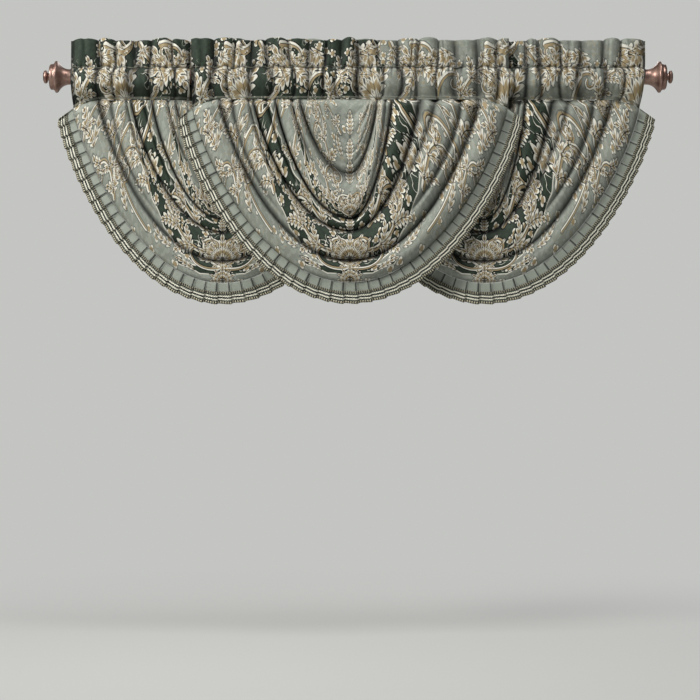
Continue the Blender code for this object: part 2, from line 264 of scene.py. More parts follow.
def paint(piece, name, values):
    """Store one number or one vector for each point of the cloth."""
    values = np.asarray(values, dtype=float)
    kind = "FLOAT" if values.ndim == 1 else "FLOAT_VECTOR"
    layer = piece.data.attributes.new(name, kind, "POINT")
    layer.data.foreach_set("value" if values.ndim == 1 else "vector", values.ravel())


def lay_out(piece, across, down):
    """UV map in metres of flat cloth."""
    mesh = piece.data
    layer = mesh.uv_layers.new(name="cloth")
    corners_of = np.empty(len(mesh.loops), dtype=int)
    mesh.loops.foreach_get("vertex_index", corners_of)
    flat = np.column_stack((across, down))[corners_of] * MM
    layer.data.foreach_set("uv", flat.ravel())


def cloth_area(piece):
    return sum(face.area for face in piece.data.polygons)


def print_cloth(piece, flat_size):
    width, length, _ = flat_size
    print(piece.name, "area", round(cloth_area(piece), 3), "flat", round(width), round(length))


def row_lengths(points, a, b, columns, rows):
    """Length of the cloth along each row of the grid, in millimetres."""
    order = np.lexsort((np.round(a, 6), np.round(b, 6)))
    grid = np.asarray(points)[order].reshape(rows + 1, columns + 1, 3)
    return np.linalg.norm(np.diff(grid, axis=1), axis=2).sum(axis=1)


# %% [markdown]
# ## The swag's folds
# One row for each ridge and crease: where it leaves the seam on the left and on
# the right of the swag's lowest point, how far it drops, and how far it stands
# forward at its lowest point. Ridges are round and creases are sharp, which a
# quarter of a sine gives when its flat end is at the ridge. Short folds start at
# the seam and die out lower down. Deep in a crease the cloth gets little light,
# so a second table says how dark each crease is painted.

# %% The swag's folds
Fold = namedtuple("Fold", "name left right drop forward")
FOLDS = (
    Fold("top of the swag", -50.0, 50.0, 0.0, 0.0),
    Fold("first ridge", -117.0, 73.0, 167.0, 34.0),
    Fold("first crease", -167.0, 90.0, 250.0, 20.0),
    Fold("second ridge", -207.0, 110.0, 373.0, 72.0),
    Fold("deep crease", -250.0, 140.0, 398.0, 34.0),
    Fold("third ridge", -283.0, 177.0, 420.0, 58.0),
    Fold("third crease", -323.0, 230.0, 440.0, 42.0),
    Fold("wide roll", -357.0, 327.0, 487.0, 86.0),
    Fold("crease over the hem", -437.0, 433.0, 540.0, 58.0),
    Fold("hem roll", -483.0, 483.0, 577.0, 88.0),
    Fold("hem seam", -527.0, 527.0, 610.0, 70.0),
)
LAST_FOLD = len(FOLDS) - 1
FOLD_HALF_WIDTH = FOLDS[-1].right
U_POWER = 1.6
FORWARD_POWER = 1.8
TUCKED_SHARE = 0.12
TUCK_INNER = 0.80
TUCK_OUTER = 1.15
SEAM_RIPPLE = 9.0
RIPPLE_REACH = 60.0
SIDE_ROLL = 32.0
SIDE_ROLL_START = 24.0
FINE_ROLL = 8.0
CRUMPLE = 1.6
FINE_OFTEN = 2.5          # fine rolls in each place of the table
FINE_REACH = 2.5          # places down to which they go
GROOVE_WANDER = 0.12
GROOVE_POWER = 1.4
GROOVE_DARKEST = 15.0     # depth at which a short fold is darkest
GROOVE_SHADOW = 0.75
GROOVES = (
    # place in the table, side, width in places and depth
    (2.55, -1.0, 0.30, 15.0),
    (3.45, 1.0, 0.30, 13.0),
    (4.95, -1.0, 0.26, 13.0),
    (6.45, 1.0, 0.24, 17.0),
    (6.60, -1.0, 0.24, 13.0),
    (7.35, 1.0, 0.20, 19.0),
    (7.50, -1.0, 0.20, 17.0),
)
CREASE_SHADOWS = (
    # place in the table and how dark
    (2.0, 0.8),
    (4.0, 1.0),
    (6.0, 0.95),
    (8.0, 0.85),
    (10.0, 0.3),
)
CREASE_WIDTH = 0.32


def fold_sizes(place):
    """Left, right, drop, depth and share of a ridge at each place in the table."""
    index = np.clip(place.astype(int), 0, LAST_FOLD - 1)
    share = place - index
    table = np.array([row[1:] for row in FOLDS])
    upper, lower = table[index], table[index + 1]
    left, right, drop = (mix(upper[:, k], lower[:, k], share) for k in range(3))
    rising = np.where(upper[:, 3] > lower[:, 3], 1.0 - share, share)
    valley = np.minimum(upper[:, 3], lower[:, 3])
    top = np.maximum(upper[:, 3], lower[:, 3])
    ridge = mix(np.sin(0.5 * math.pi * rising), np.sqrt(1.0 - (1.0 - rising) ** 2), 0.75)
    return left, right, drop, mix(valley, top, ridge), ridge


def pressed_share(valance, x, z):
    """Share of an outer swag's depth that the middle swag leaves it."""
    if valance is MIDDLE:
        return np.ones_like(x)
    left, right = corners["middle"]
    across = (x - MIDDLE.lowest) / (0.5 * (right - left))
    down = np.maximum(SEAM_HEIGHT - z, 0.0) / FOLDS[-1].drop
    level = across ** 2 + down ** (2.0 / U_POWER)
    return mix(TUCKED_SHARE, 1.0, ease((level - TUCK_INNER) / (TUCK_OUTER - TUCK_INNER)))


def groove_depths(across, place):
    """Depth of the short folds that start at the seam and die out lower down."""
    hang_share = np.maximum(np.cos(0.5 * math.pi * across), 0.0)
    total = np.zeros(np.broadcast(across, place).shape)
    for groove_place, side, width, depth in GROOVES:
        wander = GROOVE_WANDER * np.sin(5.0 * across + groove_place)
        profile = np.maximum(1.0 - np.abs(place + wander - groove_place) / width, 0.0)
        on_side = np.clip(side * across / 0.1, 0.0, 1.0)
        total += depth * profile ** GROOVE_POWER * on_side * ease((0.97 - hang_share) / 0.35)
    return total


def crease_shadow(across, place):
    """Painted shade inside the creases and the short folds, from 0 to 1."""
    grooves = np.clip(groove_depths(across, place) / GROOVE_DARKEST, 0.0, 1.0)
    shadow = GROOVE_SHADOW * grooves ** 1.5
    for crease_place, strength in CREASE_SHADOWS:
        near = 1.0 - ease(np.abs(place - crease_place) / CREASE_WIDTH)
        shadow = np.maximum(shadow, strength * near)
    return shadow


def swag_points(valance, across, place):
    """Points of the swag; across runs from -1 to 1 and place down the table."""
    left, right, drop, depth, ridge = fold_sizes(place)
    low, high = corners[valance.name]
    left_half = (valance.lowest - low) * -left / FOLD_HALF_WIDTH
    right_half = (high - valance.lowest) * right / FOLD_HALF_WIDTH
    swing = np.sin(0.5 * math.pi * across)
    hang_share = np.maximum(np.cos(0.5 * math.pi * across), 0.0)
    share = 0.5 * (1.0 + swing)
    x_left = valance.lowest - left_half
    x_right = valance.lowest + right_half
    x = valance.lowest + swing * np.where(swing < 0.0, left_half, right_half)
    start = mix(seam_height(valance, x_left), seam_height(valance, x_right), share)
    z = mix(start, SEAM_HEIGHT - drop, hang_share ** U_POWER)
    tuck = mix(tuck_at(valance, x_left), tuck_at(valance, x_right), share)
    pressed = pressed_share(valance, x, z)
    near = np.where(swing < 0.0, x_left, x_right)
    roll, _ = gather_roll(valance, near)
    fade = np.exp(-(start - z) / RIPPLE_REACH) * mix(0.3, 1.0, pressed)
    forward = valance.relief * depth * hang_share ** FORWARD_POWER * pressed
    side = ease((start - z) / SIDE_ROLL_START) * (1.0 - hang_share ** 3)
    forward += SIDE_ROLL * ridge * side * mix(0.4, 1.0, valance.relief) * pressed
    fine = np.abs(np.sin(math.pi * (FINE_OFTEN * place + 0.2 * np.sin(4.0 * across))))
    fine_share = np.clip(1.0 - place / FINE_REACH, 0.0, 1.0)
    fine_share = fine_share * ease((start - z) / SIDE_ROLL_START)
    forward += FINE_ROLL * fine * fine_share * pressed
    forward -= groove_depths(across, place) * pressed * mix(0.5, 1.0, valance.relief)
    crumple = np.sin(9.0 * across + 2.3 * place) * np.sin(3.1 * place + 4.0 * across ** 2 + 1.0)
    forward += CRUMPLE * crumple * ease((start - z) / 60.0) * ease((LAST_FOLD - place) / 0.6)
    y = valance.seam_y + tuck - forward - SEAM_RIPPLE * roll * fade
    return np.column_stack((x, y, z))


# %% [markdown]
# ## Length of cloth along a fold
# The pattern is woven before the cloth is sewn, so it has to follow the cloth.
# The distance along each U from its lowest point, and the distance down the
# middle over every ridge and crease, are the two flat measures of a point.

# %% Length of cloth along a fold
fold_steps = np.hypot(
    np.diff([row.drop for row in FOLDS]), np.diff([row.forward for row in FOLDS])
)
FOLD_DOWN = np.concatenate(([0.0], np.cumsum(fold_steps)))
SWAG_LENGTH = FOLD_DOWN[-1]


def flat_across(points, columns, rows):
    """Distance along each row of the grid from its middle column."""
    grid = points.reshape(rows + 1, columns + 1, 3)
    steps = np.linalg.norm(np.diff(grid, axis=1), axis=2)
    along = np.concatenate((np.zeros((rows + 1, 1)), np.cumsum(steps, axis=1)), axis=1)
    return (along - along[:, [columns // 2]]).ravel()


print("cloth from the seam to the hem:", round(SWAG_LENGTH), "mm")

# %% [markdown]
# ## The damask's drawing
# The cloth is a jacquard: the loom draws leaves, scrolls and flowers in cream and
# gold on a ground that turns from pale sage to dark green. The whole drawing is
# made of strokes, as a brush would lay them. A stroke starts at a point, heads
# off at an angle, bends as it goes, and is widest near its middle. Leaves have
# lobes, ribbons have a gold and a cream edge, and petals are plain.
# For each point of the cloth the nearest stroke leaves a mark of three numbers:
# how far along it the point is, how far to its side, and how wide it is there.
# The gap is the distance from its edge, less than nothing inside it. The material
# turns these into crisp edges and veins.

# %% The damask's drawing
Stroke = namedtuple("Stroke", "kind across down heading length bend curl width lobes")
LEAF, RIBBON, PETAL = 0.0, 1.0, 2.0
SPINE_STEPS = 20
FAR_AWAY = 60.0
STROKE_MARGIN = 14.0


def spine(stroke):
    """Points along a stroke; it turns by bend, and ever faster by curl."""
    share = (np.arange(SPINE_STEPS) + 0.5) / SPINE_STEPS
    turn = stroke.bend * share + stroke.curl * share ** 3
    angle = np.radians(stroke.heading + turn)
    step = stroke.length / SPINE_STEPS
    across = stroke.across + np.concatenate(([0.0], np.cumsum(np.sin(angle)))) * step
    down = stroke.down - np.concatenate(([0.0], np.cumsum(np.cos(angle)))) * step
    return np.column_stack((across, down))


def mirrored(stroke):
    return stroke._replace(
        across=-stroke.across, heading=-stroke.heading, bend=-stroke.bend, curl=-stroke.curl
    )


def half_width(stroke, share):
    """Half of a stroke's width, at a share of its length."""
    if stroke.kind == RIBBON:
        return stroke.width * mix(1.0, 0.5, share)
    shape = np.sin(math.pi * np.clip(share, 0.0, 1.0) ** 0.75) ** 0.7
    return stroke.width * np.maximum(shape, 0.02)


def draw(across, down, strokes):
    """The nearest stroke's mark, gap and kind at each point of the cloth."""
    count = len(across)
    best = np.full(count, 9.0)
    marks = np.tile((0.0, FAR_AWAY, 1.0), (count, 1))
    gaps = np.full(count, FAR_AWAY)
    kinds = np.zeros(count)
    for stroke in strokes:
        path = spine(stroke)
        margin = stroke.width + STROKE_MARGIN
        low, high = path.min(axis=0) - margin, path.max(axis=0) + margin
        inside = np.nonzero(
            (across > low[0]) & (across < high[0]) & (down > low[1]) & (down < high[1])
        )[0]
        if not len(inside):
            continue
        points = np.column_stack((across[inside], down[inside]))
        nearest = np.full(len(inside), 1e9)
        place = np.zeros(len(inside))
        side = np.zeros(len(inside))
        for index in range(SPINE_STEPS):
            start, run = path[index], path[index + 1] - path[index]
            away = points - start
            share = np.clip(away @ run / (run @ run), 0.0, 1.0)
            gap = away - share[:, None] * run
            distance = np.hypot(gap[:, 0], gap[:, 1])
            closer = distance < nearest
            nearest = np.where(closer, distance, nearest)
            place = np.where(closer, (index + share) / SPINE_STEPS, place)
            turn = np.sign(run[0] * away[:, 1] - run[1] * away[:, 0])
            side = np.where(closer, turn * distance, side)
        width = half_width(stroke, place)
        ratio = nearest / (width + 1.0)
        wins = ratio < best[inside]
        won = inside[wins]
        best[won] = ratio[wins]
        marks[won] = np.column_stack((place * stroke.lobes, side, width))[wins]
        gaps[won] = np.minimum(nearest - width, FAR_AWAY)[wins]
        kinds[won] = stroke.kind
    return marks, gaps, kinds

# %% [markdown]
# ## Motifs
# A rosette is a ring of petals, a spray is a fan of leaves, and a branch is a
# ribbon that rolls up at its end, with leaves along both sides. Each is made
# from strokes by a loop, and they are placed in a layout of their own.

# %% Motifs
PETAL_SHARE = 0.3    # a petal's half width beside its reach
HUB = 0.16           # the share of its reach at which a petal starts


def rosette(across, down, petals, reach, width):
    """A ring of petals round a point."""
    made = []
    for index in range(petals):
        heading = 360.0 * index / petals
        made.append(Stroke(
            PETAL,
            across + HUB * reach * math.sin(math.radians(heading)),
            down - HUB * reach * math.cos(math.radians(heading)),
            heading, (1.0 - HUB) * reach, 0.0, 0.0, width, 1,
        ))
    return made


def spray(across, down, heading, spread, leaves, reach, width):
    """A fan of leaves from one point, the outer ones shorter and more bent."""
    made = []
    for index in range(leaves):
        turn = 2.0 * index / (leaves - 1) - 1.0
        made.append(Stroke(
            LEAF, across, down, heading + turn * spread, reach * (1.0 - 0.25 * abs(turn)),
            35.0 * turn, 0.0, width, 4,
        ))
    return made


def branch(across, down, heading, length, bend, curl, width, leaves):
    """A ribbon that rolls up at its end, with leaves along both sides."""
    stem = Stroke(RIBBON, across, down, heading, length, bend, curl, width, 1)
    path = spine(stem)
    outer = -math.copysign(1.0, curl)
    made = [stem]
    for index in range(leaves):
        at = int((index + 0.4) / leaves * 0.72 * SPINE_STEPS)
        run = path[at + 1] - path[at]
        here = math.degrees(math.atan2(run[0], -run[1]))
        size = 0.30 * length * (1.0 - 0.35 * index / leaves)
        for side, share in ((outer, 1.0), (-outer, 0.75)):
            made.append(Stroke(
                LEAF, path[at, 0], path[at, 1], here + side * 24.0, share * size,
                side * 62.0, 0.0, 0.24 * share * size, max(3, round(share * size / 19.0)),
            ))
    return made


BRANCHES = (
    # across, down, heading, length, bend, curl, width and leaves
    (88, 592, 82, 330, -70, -330, 8, 4),
    (70, 500, 62, 290, 40, 330, 8, 3),
    (52, 398, 40, 270, -50, -360, 7, 3),
    (265, 440, 60, 300, -60, -340, 8, 3),
    (330, 570, 66, 320, 50, 380, 8, 4),
    (430, 420, 30, 270, 70, 380, 7, 3),
    (64, 262, 28, 230, 50, 340, 6.5, 3),
    (240, 290, 22, 240, -40, -340, 6.5, 3),
    (560, 610, 62, 280, -50, -380, 6.5, 3),
    (640, 470, 24, 220, 60, 360, 6.5, 3),
    (34, 128, 36, 170, 60, 330, 6, 2),
    (300, 130, 60, 200, -60, -360, 6, 2),
    (470, 230, 20, 220, -60, -360, 6, 2),
    (700, 696, 30, 240, -80, -420, 6.5, 3),
    (470, 690, 50, 230, 60, 400, 6.5, 3),
    (820, 660, 20, 220, 80, 400, 6.5, 3),
)
SIDE_STROKES = [Stroke(*row) for row in (
    # kind, across, down, heading, length, bend, curl, width and lobes
    # ribbons and leaves over the hem
    (RIBBON, 16, 648, 104, 190, -60, -300, 6.5, 1),
    (RIBBON, 300, 662, 84, 420, -16, -120, 5.5, 1),
    (LEAF, 96, 672, 70, 80, 30, 0, 11, 5),
    (LEAF, 190, 640, 100, 96, -50, 0, 14, 5),
    (LEAF, 60, 452, 60, 84, -50, 0, 14, 5),
    (LEAF, 30, 332, 50, 80, -50, 0, 13, 5),
    (LEAF, 26, 200, 36, 74, -40, 0, 11, 5),
    # leaves and scrolls on the hem roll
    (LEAF, 640, 676, 40, 110, -40, 0, 17, 5),
    (LEAF, 640, 676, 80, 100, 40, 0, 15, 5),
    (LEAF, 760, 640, 60, 100, -30, 0, 15, 5),
    (LEAF, 400, 676, 70, 96, -40, 0, 15, 5),
    # scrolls beside the palmettes and over the pale ground
    (RIBBON, 10, 632, 66, 230, -120, -430, 9, 1),
    (RIBBON, 8, 412, 58, 170, -120, -430, 7.5, 1),
    (RIBBON, 420, 500, 20, 330, 120, 520, 8.5, 1),
    (RIBBON, 500, 650, 40, 310, -90, -520, 8.5, 1),
    (RIBBON, 230, 390, 10, 270, 100, 500, 8, 1),
    (RIBBON, 330, 250, 30, 230, -100, -480, 7.5, 1),
    (RIBBON, 620, 560, 10, 270, 120, 520, 8, 1),
    (RIBBON, 110, 200, 20, 180, 90, 460, 7, 1),
)]
CENTRE_STROKES = [Stroke(*row) for row in (
    (LEAF, 0, 492, 0, 74, 0, 0, 16, 5),
    (LEAF, 0, 292, 0, 84, 0, 0, 17, 6),
    (LEAF, 0, 210, 0, 76, 0, 0, 14, 6),
    (LEAF, 0, 126, 0, 88, 0, 0, 13, 6),
)]
FLOWERS = (
    # across, down, petals and reach
    (330, 500, 6, 34),
    (168, 356, 5, 32),
    (560, 380, 6, 34),
    (700, 590, 5, 32),
)
swag_strokes = list(CENTRE_STROKES)
swag_strokes += spray(0, 612, 0, 82, 9, 112, 17)
swag_strokes += spray(0, 606, 180, 64, 5, 60, 12)
swag_strokes += spray(0, 398, 0, 76, 7, 76, 13)
swag_strokes += rosette(0, 606, 5, 26, 9)
swag_strokes += spray(0, 696, 0, 76, 7, 58, 11)
right_strokes = list(SIDE_STROKES)
for branch_row in BRANCHES:
    right_strokes += branch(*branch_row)
for flower_row in FLOWERS:
    right_strokes += rosette(*flower_row, PETAL_SHARE * flower_row[-1])
swag_strokes += right_strokes + [mirrored(stroke) for stroke in right_strokes]
print("strokes in the swag's drawing:", len(swag_strokes))

# %% [markdown]
# ## The header's drawing
# The header is cut from the same cloth, so it carries the same leaves, flowers
# and branches. One repeat of the drawing is laid side by side along the strip.

# %% The header's drawing
REPEAT = 640
HEADER_BRANCHES = (
    (30, 210, 24, 330, 60, 320, 10, 4),
    (330, 14, 150, 290, -60, -340, 9.5, 4),
)
HEADER_SPRAYS = (
    # across, down, heading, spread, leaves, reach and width
    (262, 208, -34, 44, 4, 190, 33),
    (140, 58, 120, 34, 3, 150, 31),
    (480, 116, -66, 50, 4, 142, 29),
    (496, 108, 84, 34, 3, 122, 28),
    (610, 40, 204, 36, 3, 118, 27),
)
HEADER_RIBBONS = [Stroke(*row) for row in (
    (RIBBON, 160, 24, 112, 270, -80, -330, 10.5, 1),
    (RIBBON, 180, 50, 104, 200, -60, -300, 7, 1),
    (RIBBON, 380, 204, 60, 260, -100, -360, 10, 1),
    (RIBBON, 560, 212, 6, 240, 70, 330, 10, 1),
    (RIBBON, 430, 20, 80, 210, 60, 300, 9, 1),
)]
HEADER_FLOWERS = (
    (226, 50, 5, 46),
)


def header_strokes(width):
    """The repeat of leaves, flowers and branches, as often as the strip is wide."""
    repeat = list(HEADER_RIBBONS)
    for row in HEADER_SPRAYS:
        repeat += spray(*row)
    for row in HEADER_FLOWERS:
        repeat += rosette(*row, PETAL_SHARE * row[-1])
    for row in HEADER_BRANCHES:
        repeat += branch(*row)
    made = []
    for number in range(-1, int(width / REPEAT) + 2):
        made += [row._replace(across=row.across + number * REPEAT) for row in repeat]
    return made

# %% [markdown]
# ## Nodes with less typing
# A material is a graph of small nodes. Two helpers place a node and join it up,
# and a group's sockets are made with `interface.new_socket`.

# %% Nodes with less typing


def linear(red, green, blue):
    """A screen colour from 0 to 255 as a linear colour."""
    def one(value):
        value /= 255.0
        return value / 12.92 if value <= 0.04045 else ((value + 0.055) / 1.055) ** 2.4
    return (one(red), one(green), one(blue), 1.0)


def connect(tree, socket, value):
    if isinstance(value, bpy.types.NodeSocket):
        tree.links.new(value, socket)
    elif value is not None:
        socket.default_value = value


def node(tree, kind, *values, **settings):
    made = tree.nodes.new(kind)
    for name, value in settings.items():
        setattr(made, name, value)
    for socket, value in zip(made.inputs, values):
        connect(tree, socket, value)
    return made


def calculate(tree, operation, *values):
    return node(tree, "ShaderNodeMath", *values, operation=operation).outputs[0]


def times(tree, first, second):
    return calculate(tree, "MULTIPLY", first, second)


def minus(tree, first, second):
    return calculate(tree, "SUBTRACT", first, second)


def scaled(tree, value, scale, added):
    return calculate(tree, "MULTIPLY_ADD", value, scale, added)


def between(tree, value, low, high):
    """0 where the value is under low and 1 where it is over high, eased."""
    made = node(
        tree, "ShaderNodeMapRange", value, low, high, 0.0, 1.0,
        interpolation_type="SMOOTHSTEP",
    )
    return made.outputs[0]


def chosen(tree, share, first, second):
    """The first number where the share is 0, and the second where it is 1."""
    made = node(tree, "ShaderNodeMix", data_type="FLOAT")
    connect(tree, made.inputs["Factor"], share)
    connect(tree, made.inputs["A"], first)
    connect(tree, made.inputs["B"], second)
    return made.outputs["Result"]


def blended(tree, share, first, second, blend="MIX"):
    made = tree.nodes.new("ShaderNodeMix")
    made.data_type = "RGBA"
    made.blend_type = blend
    connect(tree, made.inputs["Factor"], share)
    connect(tree, made.inputs["A"], first)
    connect(tree, made.inputs["B"], second)
    return made.outputs["Result"]


def dimmed(tree, colour, shade):
    """The colour times a grey; a shade of 1 leaves it as it is."""
    grey = node(tree, "ShaderNodeCombineColor", shade, shade, shade).outputs[0]
    return blended(tree, 1.0, colour, grey, "MULTIPLY")


def noise(tree, place, *settings):
    """Noise from 0 to 1: scale, detail, roughness, lacunarity and distortion."""
    return node(tree, "ShaderNodeTexNoise", place, None, *settings).outputs[0]


def cloth_uv(tree):
    return node(tree, "ShaderNodeUVMap", uv_map="cloth").outputs[0]


def bumped(tree, shader, height, strength, distance):
    """Bump from a height; the distance is in metres."""
    bump = tree.nodes.new("ShaderNodeBump")
    for label, value in (("Strength", strength), ("Distance", distance), ("Height", height)):
        connect(tree, bump.inputs[label], value)
    tree.links.new(bump.outputs[0], shader.inputs["Normal"])


def attribute(tree, name, output):
    made = tree.nodes.new("ShaderNodeAttribute")
    made.attribute_name = name
    return made.outputs[output]


def new_group(name, inputs, outputs):
    """An empty group with named sockets; gives its tree, input and output."""
    tree = bpy.data.node_groups.new(name, "ShaderNodeTree")
    for label, kind, value in inputs:
        socket = tree.interface.new_socket(name=label, in_out="INPUT", socket_type=kind)
        if value is not None:
            socket.default_value = value
    for label, kind in outputs:
        tree.interface.new_socket(name=label, in_out="OUTPUT", socket_type=kind)
    return tree, tree.nodes.new("NodeGroupInput"), tree.nodes.new("NodeGroupOutput")


def use_group(tree, group, **values):
    made = tree.nodes.new("ShaderNodeGroup")
    made.node_tree = group
    for name, value in values.items():
        connect(tree, made.inputs[name.replace("_", " ")], value)
    return made


def new_material(name, roughness, **settings):
    """A material with its Principled shader, and its node tree."""
    material = bpy.data.materials.new(name)
    material.use_nodes = True
    shader = material.node_tree.nodes["Principled BSDF"]
    shader.inputs["Roughness"].default_value = roughness
    for label, value in settings.items():
        shader.inputs[label.replace("_", " ")].default_value = value
    return material, material.node_tree, shader


# %% [markdown]
# ## Thread
# Every cloth here shows its threads, so the weave is one group: fine ribs both
# ways for the bump, and a slow and a fast noise for the unevenness of dyed yarn.
# It reads the UV map, which is in metres of cloth.

# %% Thread
thread_group, thread_in, thread_out = new_group(
    "Thread",
    (("Ribs", "NodeSocketFloat", 420.0), ("Unevenness", "NodeSocketFloat", 0.12)),
    (("Height", "NodeSocketFloat"), ("Shade", "NodeSocketFloat")),
)
thread_uv = cloth_uv(thread_group)
thread_split = node(thread_group, "ShaderNodeSeparateXYZ", thread_uv)
rib_heights = []
for axis_output in thread_split.outputs[:2]:
    turns = times(thread_group, axis_output, thread_in.outputs["Ribs"])
    turns = times(thread_group, turns, 2.0 * math.pi)
    rib_heights.append(calculate(thread_group, "SINE", turns))
ribs = times(thread_group, *rib_heights)
slub = noise(thread_group, thread_uv, 160.0, 3.0, 0.6)
drift = noise(thread_group, thread_uv, 9.0, 2.0, 0.5)
uneven = calculate(thread_group, "ADD", slub, drift)
uneven = minus(thread_group, uneven, 1.0)
uneven = times(thread_group, uneven, thread_in.outputs["Unevenness"])
shade = calculate(thread_group, "ADD", uneven, 1.0)
height = scaled(thread_group, ribs, 0.3, slub)
thread_group.links.new(height, thread_out.inputs["Height"])
thread_group.links.new(shade, thread_out.inputs["Shade"])

# %% [markdown]
# ## Reading a stroke
# The second group turns the mark of a stroke into masks. A leaf's lobes are a
# cosine along it that leans forward towards its edge: the notches lie where it
# is lowest, with a dark line in each, and gold fills the middle of each lobe.
# All lengths are millimetres of cloth.

# %% Reading a stroke
stroke_group, stroke_in, stroke_out = new_group(
    "Stroke",
    (
        ("Mark", "NodeSocketVector", None),
        ("Gap", "NodeSocketFloat", 0.0),
        ("Kind", "NodeSocketFloat", 0.0),
        ("Outline", "NodeSocketFloat", 3.0),
    ),
    (
        ("Fill", "NodeSocketFloat"), ("Line", "NodeSocketFloat"),
        ("Vein", "NodeSocketFloat"), ("Gold", "NodeSocketFloat"),
    ),
)


def read_stroke(tree, inputs, outputs):
    along, aside, wide = node(tree, "ShaderNodeSeparateXYZ", inputs["Mark"]).outputs
    aside_size = calculate(tree, "ABSOLUTE", aside)
    aside_share = calculate(tree, "DIVIDE", aside_size, wide)
    is_petal = between(tree, inputs["Kind"], 1.45, 1.55)
    is_ribbon = between(tree, inputs["Kind"], 0.45, 0.55)
    is_ribbon = minus(tree, is_ribbon, is_petal)
    is_leaf = between(tree, inputs["Kind"], 0.45, 0.35)
    leaning = scaled(tree, aside_share, -0.8, along)
    wave = calculate(tree, "COSINE", times(tree, leaning, 2.0 * math.pi))
    cut = scaled(tree, wave, -0.21, 0.21)
    cut = times(tree, cut, is_leaf)
    outside = scaled(tree, cut, wide, inputs["Gap"])
    fill = between(tree, outside, 0.5, -0.5)
    reach = minus(tree, outside, inputs["Outline"])
    line = minus(tree, between(tree, reach, 0.5, -0.5), fill)
    notch = between(tree, wave, -0.5, -0.85)
    notch = times(tree, notch, between(tree, aside_share, 0.16, 0.3))
    notch = times(tree, notch, is_leaf)
    middle = between(tree, aside_size, 1.5, 0.6)
    middle = times(tree, middle, minus(tree, 1.0, is_petal))
    lobe = between(tree, wave, -0.35, 0.15)
    lobe = times(tree, lobe, between(tree, aside_share, 0.58, 0.42))
    petal = between(tree, aside_share, 0.62, 0.4)
    petal = times(tree, petal, between(tree, along, 0.72, 0.5))
    gold = chosen(tree, is_petal, lobe, petal)
    gold = chosen(tree, is_ribbon, gold, between(tree, aside, -0.6, 0.6))
    tree.links.new(fill, outputs["Fill"])
    tree.links.new(line, outputs["Line"])
    tree.links.new(calculate(tree, "MAXIMUM", notch, middle), outputs["Vein"])
    tree.links.new(gold, outputs["Gold"])


read_stroke(stroke_group, stroke_in.outputs, stroke_out.inputs)

# %% [markdown]
# ## Sprigs
# Small trefoils and florets fill the ground between the large motifs. Cells of a
# Voronoi texture scatter them: the place of each cell's middle gives the angle
# and the distance of a point round it, and the cell's own colour turns it and
# picks three lobes or five.

# %% Sprigs
sprig_group, sprig_in, sprig_out = new_group(
    "Sprigs",
    (("Spacing", "NodeSocketFloat", 0.026), ("Share", "NodeSocketFloat", 1.0)),
    (("Fill", "NodeSocketFloat"), ("Line", "NodeSocketFloat"), ("Gold", "NodeSocketFloat")),
)


def scatter_sprigs(tree, inputs, outputs):
    uv = cloth_uv(tree)
    scale = calculate(tree, "DIVIDE", 1.0, inputs["Spacing"])
    cells = node(tree, "ShaderNodeTexVoronoi", uv, voronoi_dimensions="2D")
    tree.links.new(scale, cells.inputs["Scale"])
    cells.inputs["Randomness"].default_value = 0.75
    away = node(tree, "ShaderNodeVectorMath", uv, cells.outputs["Position"], operation="SUBTRACT")
    away_x, away_y, _ = node(tree, "ShaderNodeSeparateXYZ", away.outputs[0]).outputs
    distance = node(tree, "ShaderNodeVectorMath", away.outputs[0], operation="LENGTH").outputs["Value"]
    first, second, third = node(tree, "ShaderNodeSeparateColor", cells.outputs["Color"]).outputs
    lobes = scaled(tree, between(tree, second, 0.49, 0.51), 1.0, 1.5)
    angle = calculate(tree, "ARCTAN2", away_y, away_x)
    angle = scaled(tree, first, 2.0 * math.pi, angle)
    wave = calculate(tree, "COSINE", times(tree, angle, lobes))
    wave = calculate(tree, "ABSOLUTE", wave)
    reach = scaled(tree, wave, 0.60, 0.40)
    size = times(tree, inputs["Spacing"], scaled(tree, third, 0.16, 0.40))
    reach = times(tree, reach, size)
    outside = minus(tree, distance, reach)
    kept = minus(tree, inputs["Share"], third)
    kept = between(tree, kept, 0.0, 0.01)
    fill = times(tree, between(tree, outside, 0.0005, -0.0005), kept)
    line = times(tree, between(tree, outside, 0.0035, 0.0025), kept)
    line = minus(tree, line, fill)
    heart = calculate(tree, "DIVIDE", distance, size)
    gold = between(tree, heart, 0.62, 0.5)
    tree.links.new(fill, outputs["Fill"])
    tree.links.new(line, outputs["Line"])
    tree.links.new(gold, outputs["Gold"])


scatter_sprigs(sprig_group, sprig_in.outputs, sprig_out.inputs)

# %% [markdown]
# ## Damask
# The ground is sateen, pale or dark, with a faint figure of its own. Cream and
# gold wefts lie on top, so they stand a little higher and shine a little more.
# A dark outline sets each motif off, and it is fainter on the pale ground. Inside
# a crease the light is lost between two layers, so the creases are painted darker.
# On the reverse the wefts hang loose, so the drawing is dull there.

# %% Damask
PALE = linear(140, 145, 135)
DARK = linear(47, 58, 47)
CREAM = linear(226, 224, 211)
GOLD = linear(162, 145, 110)
INK = linear(13, 15, 12)
REVERSE = linear(112, 114, 102)
WHITE = (1.0, 1.0, 1.0, 1.0)


